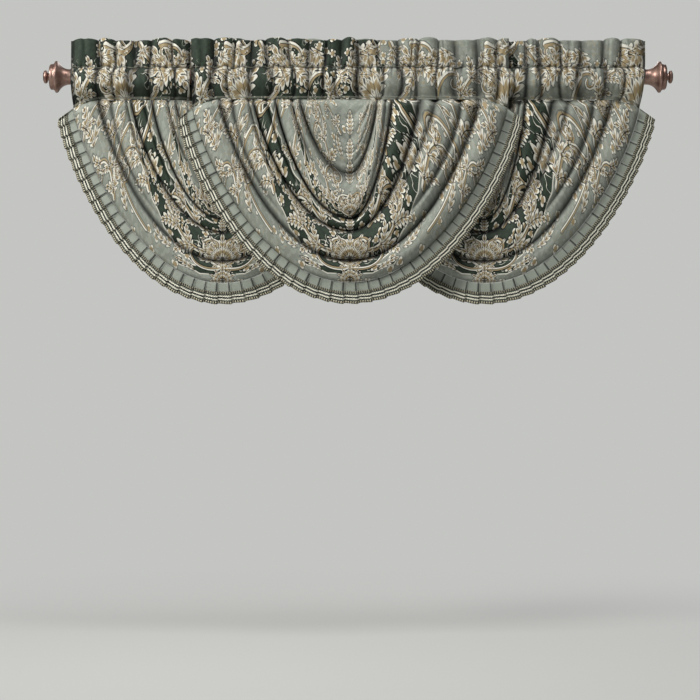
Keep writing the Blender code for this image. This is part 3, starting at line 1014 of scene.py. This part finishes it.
def make_damask():
    material, tree, shader = new_material(
        "damask", 0.62, Sheen_Weight=0.05, Sheen_Roughness=0.4, Specular_IOR_Level=0.22,
    )
    thread = use_group(tree, thread_group, Ribs=420.0, Unevenness=0.16)
    gap = attribute(tree, "gap", "Fac")
    strokes = use_group(
        tree, stroke_group, Mark=attribute(tree, "mark", "Vector"), Gap=gap,
        Kind=attribute(tree, "kind", "Fac"), Outline=3.8,
    )
    uv = cloth_uv(tree)
    ground_place = attribute(tree, "ground", "Fac")
    pale_share = between(tree, ground_place, -1.5, 1.5)
    ground = blended(tree, pale_share, DARK, PALE)
    figure = noise(tree, uv, 55.0, 2.0, 0.5, 2.0, 1.2)
    figured = times(tree, between(tree, figure, 0.5, 0.54), 0.3)
    ground = blended(tree, figured, ground, WHITE, "SOFT_LIGHT")
    border = between(tree, calculate(tree, "ABSOLUTE", ground_place), 2.6, 1.6)
    ground = blended(tree, border, ground, CREAM)
    tendril = noise(tree, uv, 30.0, 1.0, 0.4, 2.0, 2.2)
    tendril = calculate(tree, "ABSOLUTE", minus(tree, tendril, 0.5))
    tendril = between(tree, tendril, 0.016, 0.008)
    patches = noise(tree, uv, 9.0, 1.0, 0.5)
    tendril = times(tree, tendril, between(tree, patches, 0.5, 0.56))
    free = between(tree, gap, 3.2, 5.0)
    faint = chosen(tree, pale_share, 1.0, 0.45)
    ground = blended(
        tree, times(tree, times(tree, tendril, free), faint),
        ground, blended(tree, pale_share, CREAM, GOLD),
    )
    sprigs = use_group(tree, sprig_group, Spacing=0.034, Share=chosen(tree, pale_share, 0.55, 0.25))
    ink_share = chosen(tree, pale_share, 0.95, 0.45)
    sprig_line = times(tree, sprigs.outputs["Line"], free)
    colour = blended(tree, times(tree, sprig_line, ink_share), ground, INK)
    sprig_weft = blended(tree, sprigs.outputs["Gold"], CREAM, GOLD)
    sprig_fill = times(tree, sprigs.outputs["Fill"], free)
    colour = blended(tree, sprig_fill, colour, sprig_weft)
    weft = blended(tree, strokes.outputs["Gold"], CREAM, GOLD)
    weft = blended(tree, times(tree, strokes.outputs["Vein"], 0.9), weft, INK)
    outline = times(tree, strokes.outputs["Line"], ink_share)
    colour = blended(tree, outline, colour, INK)
    colour = blended(tree, strokes.outputs["Fill"], colour, weft)
    # painted shade: the crease attribute darkens the colour, nearly to black in the deepest creases
    crease = scaled(tree, attribute(tree, "crease", "Fac"), -0.94, 1.0)
    shade = times(tree, thread.outputs["Shade"], crease)
    colour = dimmed(tree, colour, shade)
    turned = node(tree, "ShaderNodeNewGeometry").outputs["Backfacing"]
    colour = blended(tree, times(tree, turned, 0.6), colour, REVERSE)
    tree.links.new(colour, shader.inputs["Base Color"])
    raised = calculate(tree, "MAXIMUM", strokes.outputs["Fill"], sprig_fill)
    height = scaled(tree, raised, 1.4, thread.outputs["Height"])
    bumped(tree, shader, height, 0.5, 0.0006)
    rough = scaled(tree, raised, -0.12, 0.64)
    tree.links.new(rough, shader.inputs["Roughness"])
    return material


damask = make_damask()

# %% [markdown]
# ## Ruffle cloth
# The ruffle is cut from the pale part of the cloth. Each knife pleat is pressed,
# so a thin painted shadow lies along its edge, where the next pleat turns under.

# %% Ruffle cloth


def make_band_cloth():
    material, tree, shader = new_material(
        "ruffle cloth", 0.68, Sheen_Weight=0.2, Sheen_Roughness=0.4,
    )
    thread = use_group(tree, thread_group, Ribs=420.0, Unevenness=0.2)
    pressed = attribute(tree, "pleat", "Fac")
    # painted shadow: near black along the edge of each pleat
    shadow = between(tree, pressed, 0.86, 0.96)
    colour = blended(tree, times(tree, shadow, 0.9), linear(147, 153, 142), INK)
    colour = dimmed(tree, colour, thread.outputs["Shade"])
    tree.links.new(colour, shader.inputs["Base Color"])
    bumped(tree, shader, thread.outputs["Height"], 0.5, 0.0005)
    return material


band_cloth = make_band_cloth()

# %% [markdown]
# ## Braid
# The braid is a flat gimp: a dark green cord between two cream ones, and a row of
# small loops along each side. The stripes follow the share across the braid, and
# the loops follow the length along it.

# %% Braid
BRAID_STRIPES = (
    # share across at which the stripe starts, colour
    (0.0, linear(140, 137, 115)),
    (0.21, INK),
    (0.27, linear(118, 126, 110)),
    (0.33, linear(226, 223, 205)),
    (0.43, linear(34, 42, 34)),
    (0.57, linear(226, 223, 205)),
    (0.67, linear(118, 126, 110)),
    (0.73, INK),
    (0.79, linear(178, 173, 148)),
)
LOOP_PITCH = 6.6


def make_braid():
    material, tree, shader = new_material("braid", 0.72, Sheen_Weight=0.2)
    uv = cloth_uv(tree)
    split = node(tree, "ShaderNodeSeparateXYZ", uv)
    share = attribute(tree, "share", "Fac")
    stripes = tree.nodes.new("ShaderNodeValToRGB")
    stripes.color_ramp.interpolation = "CONSTANT"
    elements = stripes.color_ramp.elements
    while len(elements) < len(BRAID_STRIPES):
        elements.new(0.5)
    for element, (start, colour) in zip(elements, BRAID_STRIPES):
        element.position = start
        element.color = colour
    tree.links.new(share, stripes.inputs["Fac"])
    turns = times(tree, split.outputs[0], 2.0 * math.pi * 1000.0 / LOOP_PITCH)
    loop = calculate(tree, "COSINE", turns)
    from_middle = calculate(tree, "ABSOLUTE", minus(tree, share, 0.5))
    in_loops = between(tree, from_middle, 0.25, 0.27)
    eye = times(tree, between(tree, loop, 0.2, -0.3), in_loops)
    colour = blended(tree, times(tree, eye, 0.95), stripes.outputs[0], INK)
    # The twist is a bump, and the same wave is painted into the colour as painted shade and light,
    # darker in each groove of the cords.
    twist = scaled(tree, share, 30.0, turns)
    twist = calculate(tree, "SINE", twist)
    twist_shade = scaled(tree, twist, 0.1, 0.92)
    colour = dimmed(tree, colour, twist_shade)
    tree.links.new(colour, shader.inputs["Base Color"])
    bumped(tree, shader, twist, 0.6, 0.0008)
    return material


braid_cloth = make_braid()

# %% [markdown]
# ## Rose bronze
# The pole and finials are metal with a brushed rose-bronze finish. Fine rings
# from the lathe run round the axis, and a slow noise dulls it unevenly.

# %% Rose bronze
RING_STRETCH = (900.0, 6.0, 6.0)
BRONZE = linear(142, 112, 101)
WORN_BRONZE = linear(170, 142, 130)


def make_bronze():
    material, tree, shader = new_material("rose bronze", 0.36, Metallic=0.85)
    place = node(tree, "ShaderNodeTexCoord").outputs["Object"]
    stretched = node(tree, "ShaderNodeMapping", place, None, None, RING_STRETCH).outputs[0]
    rings = noise(tree, stretched, 1.0, 2.0, 0.5)
    patina = noise(tree, place, 40.0, 4.0, 0.6)
    colour = blended(tree, between(tree, patina, 0.35, 0.7), BRONZE, WORN_BRONZE)
    tree.links.new(colour, shader.inputs["Base Color"])
    rough = scaled(tree, patina, 0.22, 0.32)
    tree.links.new(rough, shader.inputs["Roughness"])
    bumped(tree, shader, rings, 0.15, 0.0002)
    return material


bronze = make_bronze()

# %% [markdown]
# ## Pole and finials
# Both are turned work, so a profile spun round the pole's axis makes them. The
# profile is a list of rings, each with its distance out from the pole's end and
# its radius. Turns sharper than 50 degrees keep a crisp edge.

# %% Pole and finials
FINIAL_RINGS = (
    # millimetres out from the pole's end, and radius
    (0.0, 0.0), (0.0, 25.4), (5.0, 25.8), (10.0, 27.0), (15.0, 28.8),
    (20.0, 31.5), (25.0, 35.0), (30.0, 40.0), (34.0, 45.2), (37.0, 50.0),
    (39.5, 52.0), (42.5, 52.6), (45.5, 51.6), (46.5, 47.0), (48.5, 45.2),
    (50.5, 44.6), (51.0, 41.6), (53.0, 42.4), (57.0, 42.6), (61.0, 41.6),
    (63.5, 38.0), (64.5, 20.0), (65.5, 12.8), (68.5, 11.8), (71.5, 12.8),
    (72.6, 17.0), (74.5, 20.6), (77.5, 21.9), (80.5, 21.6), (83.5, 19.0),
    (85.8, 13.5), (86.8, 7.0), (87.0, 0.0),
)
TURN_STEPS = 64
CRISP_ANGLE = 50.0
FINIAL_GAP = 0.3


def turned(name, rings, start, side):
    """A profile spun round the pole's axis; side is the way it points."""
    bm = bmesh.new()
    verts = [
        bm.verts.new((side * (start + out) * MM, 0.0, radius * MM)) for out, radius in rings
    ]
    edges = [bm.edges.new(pair) for pair in zip(verts, verts[1:])]
    bmesh.ops.spin(
        bm, geom=verts + edges, axis=(1.0, 0.0, 0.0), cent=(0.0, 0.0, 0.0),
        angle=2.0 * math.pi, steps=TURN_STEPS, use_merge=True,
    )
    bmesh.ops.remove_doubles(bm, verts=bm.verts[:], dist=1e-6)
    bmesh.ops.recalc_face_normals(bm, faces=bm.faces[:])
    piece = add_mesh_object(name, bm)
    piece.data.shade_smooth()
    piece.data.set_sharp_from_angle(angle=math.radians(CRISP_ANGLE))
    piece.data.materials.append(bronze)
    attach(piece, "root")
    return piece


finial_start = pole_high[0] + FINIAL_GAP
for side_name, side_sign in (("left", -1.0), ("right", 1.0)):
    finial = turned("finial_" + side_name + "_turned", FINIAL_RINGS, finial_start, side_sign)
    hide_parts("finial_" + side_name)
half_pole = pole_high[0]
pole_rings = (
    (0.0, 0.0), (0.0, POLE_RADIUS), (2.0 * half_pole, POLE_RADIUS), (2.0 * half_pole, 0.0),
)
pole = turned("pole_turned", pole_rings, -half_pole, 1.0)
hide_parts("pole")
print("finial faces:", len(finial.data.polygons))

# %% [markdown]
# ## Swags
# Each swag is one grid hung by the fold table. More rows go where the folds are
# tight. The ground is dark round the medallion and pale elsewhere, and the
# border between them is scalloped.

# %% Swags


def paint_drawing(piece, across, down, strokes):
    """Store the nearest stroke's mark, gap and kind on the cloth."""
    marks, gaps, kinds = draw(across, down, strokes)
    paint(piece, "mark", marks)
    paint(piece, "gap", gaps)
    paint(piece, "kind", kinds)


SWAG_COLUMNS = 300
SWAG_ROWS = 216
SCALLOP = 7.0
SCALLOP_WIDTH = 24.0
DARK_BANDS = (
    # from across and down to across and down, with the half height at both ends
    (-560.0, 470.0, 0.0, 566.0, 22.0, 112.0),
    (560.0, 440.0, 0.0, 566.0, 22.0, 112.0),
    (-64.0, 384.0, 64.0, 384.0, 38.0, 38.0),
    (-430.0, 330.0, 0.0, 430.0, 10.0, 40.0),
    (360.0, 250.0, 0.0, 430.0, 8.0, 34.0),
    (-150.0, 667.0, 150.0, 667.0, 16.0, 16.0),
)


def dark_ground(across, down):
    """Distance in millimetres from the dark ground's border, less inside."""
    nearest = np.full(len(across), 1e3)
    for from_across, from_down, to_across, to_down, from_half, to_half in DARK_BANDS:
        run_across, run_down = to_across - from_across, to_down - from_down
        away_across, away_down = across - from_across, down - from_down
        share = (away_across * run_across + away_down * run_down)
        share = np.clip(share / (run_across ** 2 + run_down ** 2), 0.0, 1.0)
        gap = np.hypot(away_across - share * run_across, away_down - share * run_down)
        nearest = np.minimum(nearest, gap - mix(from_half, to_half, share))
    scallops = SCALLOP * np.abs(np.sin(across / SCALLOP_WIDTH)) + 4.0 * np.sin(down / 15.0)
    return nearest + scallops


def build_swag(valance):
    piece, a, b = cloth_grid(valance.name + "_swag_cloth", SWAG_COLUMNS, SWAG_ROWS)
    place = b * LAST_FOLD
    points = swag_points(valance, 2.0 * a - 1.0, place)
    hang(piece, points)
    order = np.lexsort((np.round(a, 6), np.round(b, 6)))
    along = np.empty(len(a))
    along[order] = flat_across(points[order], SWAG_COLUMNS, SWAG_ROWS)
    down = np.interp(place, np.arange(len(FOLDS)), FOLD_DOWN)
    lay_out(piece, along, down)
    paint_drawing(piece, along, down, swag_strokes)
    paint(piece, "ground", dark_ground(along, down))
    # painted shade: darker inside the creases and the short folds
    paint(piece, "crease", crease_shadow(2.0 * a - 1.0, place))
    piece.data.materials.append(damask)
    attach(piece, "root")
    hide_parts(valance.name + "_swag")
    lengths = row_lengths(points, a, b, SWAG_COLUMNS, SWAG_ROWS)
    rows_down = np.interp(np.linspace(0.0, LAST_FOLD, SWAG_ROWS + 1), range(len(FOLDS)), FOLD_DOWN)
    area = float(np.sum(0.5 * (lengths[1:] + lengths[:-1]) * np.diff(rows_down)))
    return piece, (float(lengths.max()), SWAG_LENGTH, area)


swags = {}
for valance in VALANCES:
    swags[valance.name] = build_swag(valance)
    print_cloth(*swags[valance.name])

# %% [markdown]
# ## Headers
# A header is one strip folded over at its top edge. The path below follows the
# strip from the seam in front, up over the pole and the frill, and down behind.
# The gathers lean and wander on their way, the stitching of the pocket draws
# small puckers into the cloth, and the layers keep clear of the pole. Their
# creases and the puckers are also painted darker, as painted shade.
# Where an outer header runs on behind the middle one, its front layer ends and
# only the frill and the back layer go on. The strip's rows run upwards, so its
# faces are turned round to bring the cloth's right side out.

# %% Headers
SectionRow = namedtuple("SectionRow", "name height front back ripple inset")
SECTION = (
    SectionRow("top edge", FRILL_TOP, None, None, 23.0, 0.0),
    SectionRow("upper frill", 104.0, None, None, 23.0, 0.0),
    SectionRow("lower frill", 66.0, None, None, 18.0, 0.0),
    SectionRow("over the stitching", 40.0, None, None, 8.0, 0.05),
    SectionRow("pocket stitching", 31.0, None, None, 3.0, 0.1),
    SectionRow("shoulder", 19.0, -23.0, 23.0, 10.0, 0.15),
    SectionRow("level with the pole", -2.0, -28.0, 28.0, 15.0, 0.3),
    SectionRow("below the pole", -34.0, -25.5, 15.0, 17.0, 0.6),
    SectionRow("lower end of the pocket", -64.0, None, None, 12.0, 0.9),
    SectionRow("lower seam", SEAM_HEIGHT, None, None, SEAM_RIPPLE, 1.0),
)
STITCH_ROW = 4
POCKET_END_ROW = 8
LAST_ROW = len(SECTION) - 1
LAYER_HALF = 0.9
HEADER_ROWS = 100
COLUMNS_PER_METRE = 360
HIDDEN_RIPPLE = 0.25
BACK_RIPPLE = 0.4
UNEVEN_TOP = 5.0
FRILL_BACK = 10.0
FULLNESS = 1.22          # cloth between the creases for each millimetre of pole
CREASE_SWALLOWS = 16.0
LAP = 3.0
POLE_CLEARANCE = 1.6
FRILL_LEANS = ((9.0, 0.021, 0.7), (4.0, 0.083, 2.0))      # size, waves and start
POCKET_LEANS = ((15.0, 0.017, 2.6), (5.0, 0.071, 0.0))
PUCKER_DEPTH = 7.0
PUCKER_REACH = 1.1       # in rows of the section, to each side of the stitching
STITCH_PULL = 5.0
CREASE_HALF = (17.0, 8.0)                # half width painted, and its unevenness
CREASE_DEPTHS = (0.6, 0.8, 0.95, 1.0, 1.0, 1.0, 0.95, 0.95, 1.0, 1.0)
VALLEY_SHADOW = 0.3
STITCH_SHADOW = 0.55
PUCKER_SHADOW = 0.9
DARK_SHARE = 0.60        # the header's left part has dark ground
PATCH = (26.0, 30.0)     # pale patches in the dark part, and their unevenness


def waves(rows, x):
    return sum(size * np.sin(often * x + start) for size, often, start in rows)


def near_stitching(level, reach):
    """1 on the pocket's stitching, and next to nothing two reaches away."""
    return np.exp(-((level - STITCH_ROW) / reach) ** 2)


def pucker_waves(x, lean=0.0):
    return np.abs(np.sin(0.12 * x + 1.3 * np.sin(0.047 * x) + lean))


def gather_place(valance, x, level):
    """Where along the header a point's gather starts; gathers lean and wander."""
    above = np.clip((STITCH_ROW - level) / STITCH_ROW, 0.0, 1.0)
    below = np.clip((level - STITCH_ROW) / (LAST_ROW - STITCH_ROW), 0.0, 1.0)
    lean = above * waves(FRILL_LEANS, x) + np.sin(math.pi * below) * waves(POCKET_LEANS, x)
    return np.clip(x + lean, *ends[valance.name])


def header_points(valance, x, level, front):
    """Points of the strip at a level of the section, in front or behind."""
    tuck = tuck_at(valance, x)
    in_front = np.where(front, -1.0, 1.0)
    stitched_y = valance.frill_y + tuck
    seam_y = valance.seam_y + tuck
    rows_y = []
    for index, row in enumerate(SECTION):
        if row.front is not None:
            rows_y.append(np.where(front, row.front, row.back + valance.loose + tuck))
        else:
            middle = stitched_y if index <= STITCH_ROW else seam_y
            rows_y.append(middle + in_front * LAYER_HALF)
    y = through(rows_y, level)
    z, ripple, inset = (
        through([getattr(row, column) for row in SECTION], level)
        for column in ("height", "ripple", "inset")
    )
    roll, number = gather_roll(valance, gather_place(valance, x, level))
    hidden = (x < valance.pocket[0] - LAP) | (x > valance.pocket[1] + LAP)
    depth = ripple * np.where(hidden, HIDDEN_RIPPLE, 1.0)
    pinch = near_stitching(level, PUCKER_REACH)
    pucker = PUCKER_DEPTH * pinch * (pucker_waves(x) - 0.6)
    behind = np.where(front | (level <= STITCH_ROW), -1.0, BACK_RIPPLE)
    behind = np.where(level >= POCKET_END_ROW, -1.0, behind)
    frill_share = np.clip((STITCH_ROW - level) / 2.0, 0.0, 1.0)
    y = y + behind * (depth * roll + pucker) + FRILL_BACK * frill_share * depth / SECTION[0].ripple
    seam_x = seam_place(valance, x)
    fall = seam_height(valance, seam_x) - SEAM_HEIGHT
    z = z + fall * ease((level - 6.0) / 2.0)
    top = np.clip(1.0 - level / 2.0, 0.0, 1.0)
    z = z + top * UNEVEN_TOP * (np.sin(1.7 * number + 0.6) * roll - 0.9 * (1.0 - roll) - 0.1)
    z = z + STITCH_PULL * pinch * (roll - 0.6 + 0.4 * np.sin(0.11 * x))
    reach = np.maximum(np.hypot(y, z), 1.0)
    push = np.maximum((POLE_RADIUS + POLE_CLEARANCE) / reach, 1.0)
    return np.column_stack((mix(x, seam_x, inset), y * push, z * push))


def header_shadow(valance, x, level):
    """Painted shade in the header's creases and beside the stitching, from 0 to 1."""
    gather_x = gather_place(valance, x, level)
    roll, _ = gather_roll(valance, gather_x)
    away = np.abs(gather_x[:, None] - gather_edges(valance))
    number = away.argmin(axis=1)
    half = CREASE_HALF[0] + CREASE_HALF[1] * np.sin(2.3 * number)
    depth = through(CREASE_DEPTHS, level)
    strength = 0.85 + 0.15 * np.sin(2.9 * number + 0.5)
    creases = (1.0 - ease(away.min(axis=1) / half)) * depth * strength
    valleys = VALLEY_SHADOW * (1.0 - ease(roll / 0.95)) * depth
    puckers = 1.0 - ease(pucker_waves(x, 0.25 * (level - STITCH_ROW)) / 0.55)
    shadow = np.maximum(creases, valleys)
    shadow += STITCH_SHADOW * near_stitching(level, 0.28)
    shadow += PUCKER_SHADOW * near_stitching(level, 1.7) * puckers
    return np.clip(shadow, 0.0, 1.0)


def header_ground(from_left, width, along, down):
    """Distance in millimetres from the dark ground's border, less inside."""
    border = from_left - DARK_SHARE * width + 18.0 * np.sin(down / 23.0)
    patch = np.sin(along / 41.0) * np.sin(down / 37.0 + along / 160.0)
    patch = np.clip(-(PATCH[0] + PATCH[1] * patch), 0.0, 40.0)
    return np.minimum(border, 30.0) + patch + np.where(border > 30.0, 40.0, 0.0)


def cut_hidden_layer(piece, valance, in_layer):
    """Cut the front layer off beside the pocket, and bring the right side out."""
    low, high = valance.pocket[0] - LAP, valance.pocket[1] + LAP
    bm = bmesh.new()
    bm.from_mesh(piece.data)
    doomed = []
    for face in bm.faces:
        middle_x = sum(vert.co.x for vert in face.verts) / (4.0 * MM)
        if not low <= middle_x <= high and all(in_layer[vert.index] for vert in face.verts):
            doomed.append(face)
    bmesh.ops.delete(bm, geom=doomed, context="FACES")
    bmesh.ops.reverse_faces(bm, faces=bm.faces[:])
    bm.to_mesh(piece.data)
    bm.free()


def build_header(valance):
    left, right = ends[valance.name]
    columns = int((right - left) * COLUMNS_PER_METRE * MM)
    piece, a, b = cloth_grid(valance.name + "_header_cloth", columns, HEADER_ROWS)
    x = mix(left, right, a)
    front = b < 0.5
    level = np.clip(np.where(front, 1.0 - 2.0 * b, 2.0 * b - 1.0), 0.0, 1.0) * LAST_ROW
    points = header_points(valance, x, level, front)
    hang(piece, points)
    _, number = gather_roll(valance, x)
    along = FULLNESS * (x - left) + CREASE_SWALLOWS * number
    heights = np.cumsum([0.0] + [
        abs(upper.height - lower.height) for upper, lower in zip(SECTION, SECTION[1:])
    ])
    down = np.interp(level, np.arange(len(SECTION)), heights)
    flat_down = np.where(front, down, -down)
    lay_out(piece, along, flat_down)
    paint_drawing(piece, along, down, header_strokes(along.max()))
    # painted shade: darker in the gathers' creases and round the stitching
    paint(piece, "crease", header_shadow(valance, x, level))
    paint(piece, "ground", header_ground(x - left, right - left, along, down))
    in_layer = front & (level > STITCH_ROW) & (level < POCKET_END_ROW + 0.1)
    cut_hidden_layer(piece, valance, in_layer)
    piece.data.materials.append(damask)
    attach(piece, "root")
    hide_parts(valance.name + "_header")
    width, length = float(along.max()), 2.0 * float(heights[-1])
    open_share = 1.0 - (valance.pocket[1] - valance.pocket[0]) / (right - left)
    cut_away = max(open_share, 0.0) * width * float(heights[POCKET_END_ROW] - heights[STITCH_ROW])
    return piece, (width, length, width * length - cut_away)


headers = {}
for valance in VALANCES:
    headers[valance.name] = build_header(valance)
    print_cloth(*headers[valance.name])

# %% [markdown]
# ## Ruffles and braids
# The ruffle follows the hem seam and turns outwards from it. Its knife pleats are
# a ramp that drops back at each fold, shallow at the seam and deep at the free
# edge, where each fold also stands out a little. The braid was sewn on before
# pleating, so it uses the same places and rides a little in front.

# %% Ruffles and braids
PLEATS = 43
PLEAT_DEPTH = 7.0
PLEAT_STAGGER = 2.0
PLEAT_AT_SEAM = 0.3
PLEAT_TURN = 0.14       # share of a pleat over which it drops back
PLEAT_WANDER = 0.12     # unevenness, as a share of a pleat's width
WANDER_STEP = 2.1
PLEAT_SOFTNESS = 0.35
RUFFLE_WIDTH_SIDE = 58.0
RUFFLE_WIDTH_LOW = 70.0
RUFFLE_GAP = 0.6
RUFFLE_THICKNESS = 1.2
BRAID_START = 0.42
BRAID_RISE = 2.8
BRAID_THICKNESS = 1.0
CORDS = 3.5
CORD_HEIGHT = 0.7
END_TURN = 35.0
END_TURN_POWER = 12
COLUMNS_PER_PLEAT = 14
RUFFLE_ROWS = 18
BRAID_ROWS = 9
HEM_SAMPLES = 1200


def hem_line(valance):
    """Points along the hem seam, the length to each, and the way out from it."""
    across = np.linspace(-1.0, 1.0, HEM_SAMPLES + 1)
    points = swag_points(valance, across, np.full(len(across), float(LAST_FOLD)))
    steps = np.linalg.norm(np.diff(points, axis=0), axis=1)
    lengths = np.concatenate(([0.0], np.cumsum(steps)))
    run = np.gradient(points, axis=0)
    turn = np.arctan2(run[:, 2], run[:, 0])
    turn -= np.sign(across) * math.radians(END_TURN) * abs(across) ** END_TURN_POWER
    return across, points, lengths, turn


def ruffle_points(valance, a, share, rise):
    """Points of the ruffle, or of the braid that lies on it by rise."""
    across, hem, lengths, turn = hem_line(valance)
    number = np.floor(a * PLEATS)
    phase = a * PLEATS - number
    wander = PLEAT_WANDER * np.sin(WANDER_STEP * number) * np.sin(math.pi * phase)
    lift = np.where(phase < PLEAT_TURN, 1.0 - phase / PLEAT_TURN,
                    (phase - PLEAT_TURN) / (1.0 - PLEAT_TURN))
    lift = mix(lift, ease(lift), PLEAT_SOFTNESS)
    length = (a + wander / PLEATS) * lengths[-1]
    x = np.interp(length, lengths, hem[:, 0])
    y = np.interp(length, lengths, hem[:, 1])
    z = np.interp(length, lengths, hem[:, 2])
    way = np.interp(length, lengths, turn)
    low_share = np.cos(0.5 * math.pi * np.interp(length, lengths, across))
    width = mix(RUFFLE_WIDTH_SIDE, RUFFLE_WIDTH_LOW, low_share)
    reach = RUFFLE_GAP + share * (width + PLEAT_STAGGER * (2.0 * lift - 1.0))
    forward = PLEAT_DEPTH * lift * mix(PLEAT_AT_SEAM, 1.0, share) + rise
    points = np.column_stack((x + reach * np.sin(way), y - forward, z - reach * np.cos(way)))
    return points, length, width, lift


def build_ruffle(valance):
    columns = PLEATS * COLUMNS_PER_PLEAT
    piece, a, b = cloth_grid(valance.name + "_ruffle_cloth", columns, RUFFLE_ROWS, RUFFLE_THICKNESS)
    points, length, width, lift = ruffle_points(valance, a, b, 0.0)
    hang(piece, points)
    lay_out(piece, length, b * width)
    paint(piece, "pleat", lift)
    piece.data.materials.append(band_cloth)
    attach(piece, "root")
    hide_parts(valance.name + "_ruffle")
    lengths = row_lengths(points, a, b, columns, RUFFLE_ROWS)
    return piece, (float(lengths.max()), RUFFLE_WIDTH_LOW, float(lengths.mean() * width.mean()))


def build_braid(valance):
    columns = PLEATS * COLUMNS_PER_PLEAT * 2
    piece, a, b = cloth_grid(valance.name + "_braid_woven", columns, BRAID_ROWS, BRAID_THICKNESS)
    share = mix(BRAID_START, 1.0, b)
    cords = CORD_HEIGHT * np.abs(np.cos(math.pi * CORDS * (b - 0.5)))
    points, length, width, _ = ruffle_points(valance, a, share, BRAID_RISE + cords)
    hang(piece, points)
    lay_out(piece, length, b * width * (1.0 - BRAID_START))
    paint(piece, "share", b)
    piece.data.materials.append(braid_cloth)
    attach(piece, "root")
    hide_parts(valance.name + "_braid")
    lengths = row_lengths(points, a, b, columns, BRAID_ROWS)
    high = 1.0 - BRAID_START
    area = float(lengths.mean() * width.mean() * high)
    return piece, (float(lengths.max()), high * RUFFLE_WIDTH_LOW, area)


trims = {}
for valance in VALANCES:
    trims[valance.name] = (build_ruffle(valance), build_braid(valance))
    for trim in trims[valance.name]:
        print_cloth(*trim)

# %% [markdown]
# ## Flat sizes of the cloth
# Each sheet's flat size is worked out from the drape above, and its flat area is
# printed with the share of it that the built sheet covers. The cloth that is
# folded in under each pleat isn't built, so the ruffles and braids don't count it.

# %% Flat sizes of the cloth
for valance in VALANCES:
    name = valance.name
    swag, swag_flat = swags[name]
    header, header_flat = headers[name]
    (ruffle, ruffle_flat), (braid, braid_flat) = trims[name]
    for piece, (width, length, area_mm2), held, rests in (
        (header, header_flat, "gathered", ["pole_turned"]),
        (swag, swag_flat, "draped", [header.name]),
        (ruffle, ruffle_flat, "gathered", [swag.name]),
        (braid, braid_flat, "gathered", [ruffle.name]),
    ):
        flat_size, area = (width * MM, length * MM), area_mm2 * MM * MM
        built = cloth_area(piece) / area
        print(piece.name, "flat area", round(area, 3), "built share", round(built, 2))

# %% [markdown]
# ## Floor, light and camera
# A pale floor and large soft lights show the folds. Far from the valances the
# floor fades into the backdrop, so no horizon crosses the picture. The camera
# looks straight on from well below the valances, so they fill the top of the
# picture, and a long lens keeps their sizes true.

# %% Floor, light and camera
FLOOR_HEIGHT = -1.9
FLOOR_HALF = 12.0
SOFT_LIGHT = 0.09
PICTURE_WIDTH = 2.333
PICTURE_MIDDLE = (-0.0267, -0.91)
CAMERA_DISTANCE = 7.0
BACKDROP = linear(196, 197, 194)
FADE_START = 0.8
FADE_END = 3.4
LIGHTS = (
    # name, place, aim, side, power and colour
    ("key", (-3.1, -2.1, 1.7), (0.1, 0.0, -0.3), 0.9, 155.0, (1.0, 0.99, 0.97)),
    ("top", (0.6, -1.9, 3.4), (0.0, 0.0, -0.4), 1.2, 90.0, (1.0, 1.0, 1.0)),
    ("fill", (3.4, -4.6, 0.6), (0.0, 0.0, -0.4), 3.0, 10.0, (0.95, 0.98, 1.0)),
    ("back", (1.2, 4.6, 1.4), (0.0, 0.0, -0.4), 2.4, 90.0, (1.0, 1.0, 1.0)),
)


def add_area_light(name, place, aim, side, power, colour):
    """A soft square light at a place, pointing at another."""
    light = bpy.data.lights.new(name, "AREA")
    light.size = side
    light.energy = power
    light.color = colour
    made = add_object(name, light)
    made.location = place
    way = Vector(aim) - Vector(place)
    made.rotation_euler = way.to_track_quat("-Z", "Y").to_euler()


bm = bmesh.new()
bmesh.ops.create_grid(bm, x_segments=1, y_segments=1, size=FLOOR_HALF)
bmesh.ops.translate(bm, verts=bm.verts[:], vec=(0.0, 0.0, FLOOR_HEIGHT))
floor = add_mesh_object("floor", bm)
floor_material, floor_tree, floor_shader = new_material("pale floor", 0.85)
floor_shader.inputs["Base Color"].default_value = linear(214, 214, 210)
floor_place = node(floor_tree, "ShaderNodeTexCoord").outputs["Object"]
floor_away = node(floor_tree, "ShaderNodeVectorMath", floor_place, operation="LENGTH").outputs["Value"]
floor_seen = node(floor_tree, "ShaderNodeLightPath").outputs["Is Camera Ray"]
floor_fade = between(floor_tree, floor_away, FADE_START, FADE_END)
floor_fade = calculate(floor_tree, "MULTIPLY", floor_fade, floor_seen)
floor_far = node(floor_tree, "ShaderNodeEmission", BACKDROP)
floor_both = node(
    floor_tree, "ShaderNodeMixShader", floor_fade, floor_shader.outputs[0], floor_far.outputs[0]
)
floor_output = floor_tree.nodes["Material Output"]
floor_tree.links.new(floor_both.outputs[0], floor_output.inputs["Surface"])
floor.data.materials.append(floor_material)

for light_row in LIGHTS:
    add_area_light(*light_row)
world = bpy.context.scene.world or bpy.data.worlds.new("studio")
bpy.context.scene.world = world
world.use_nodes = True
world_tree = world.node_tree
soft_light = world_tree.nodes["Background"]
soft_light.inputs["Color"].default_value = (0.9, 0.92, 0.92, 1.0)
soft_light.inputs["Strength"].default_value = SOFT_LIGHT
backdrop = node(world_tree, "ShaderNodeBackground", BACKDROP)
seen = node(world_tree, "ShaderNodeLightPath").outputs["Is Camera Ray"]
both = node(world_tree, "ShaderNodeMixShader", seen, soft_light.outputs[0], backdrop.outputs[0])
world_tree.links.new(both.outputs[0], world_tree.nodes["World Output"].inputs["Surface"])

camera_data = bpy.data.cameras.new("camera")
camera_data.sensor_width = 36.0
camera_data.lens = camera_data.sensor_width * CAMERA_DISTANCE / PICTURE_WIDTH
camera = add_object("camera", camera_data)
camera.location = (PICTURE_MIDDLE[0], -CAMERA_DISTANCE, PICTURE_MIDDLE[1])
camera.rotation_euler = (0.5 * math.pi, 0.0, 0.0)
bpy.context.scene.camera = camera
bpy.context.scene.view_settings.view_transform = "Standard"
print("lens", round(camera_data.lens, 1), "mm")
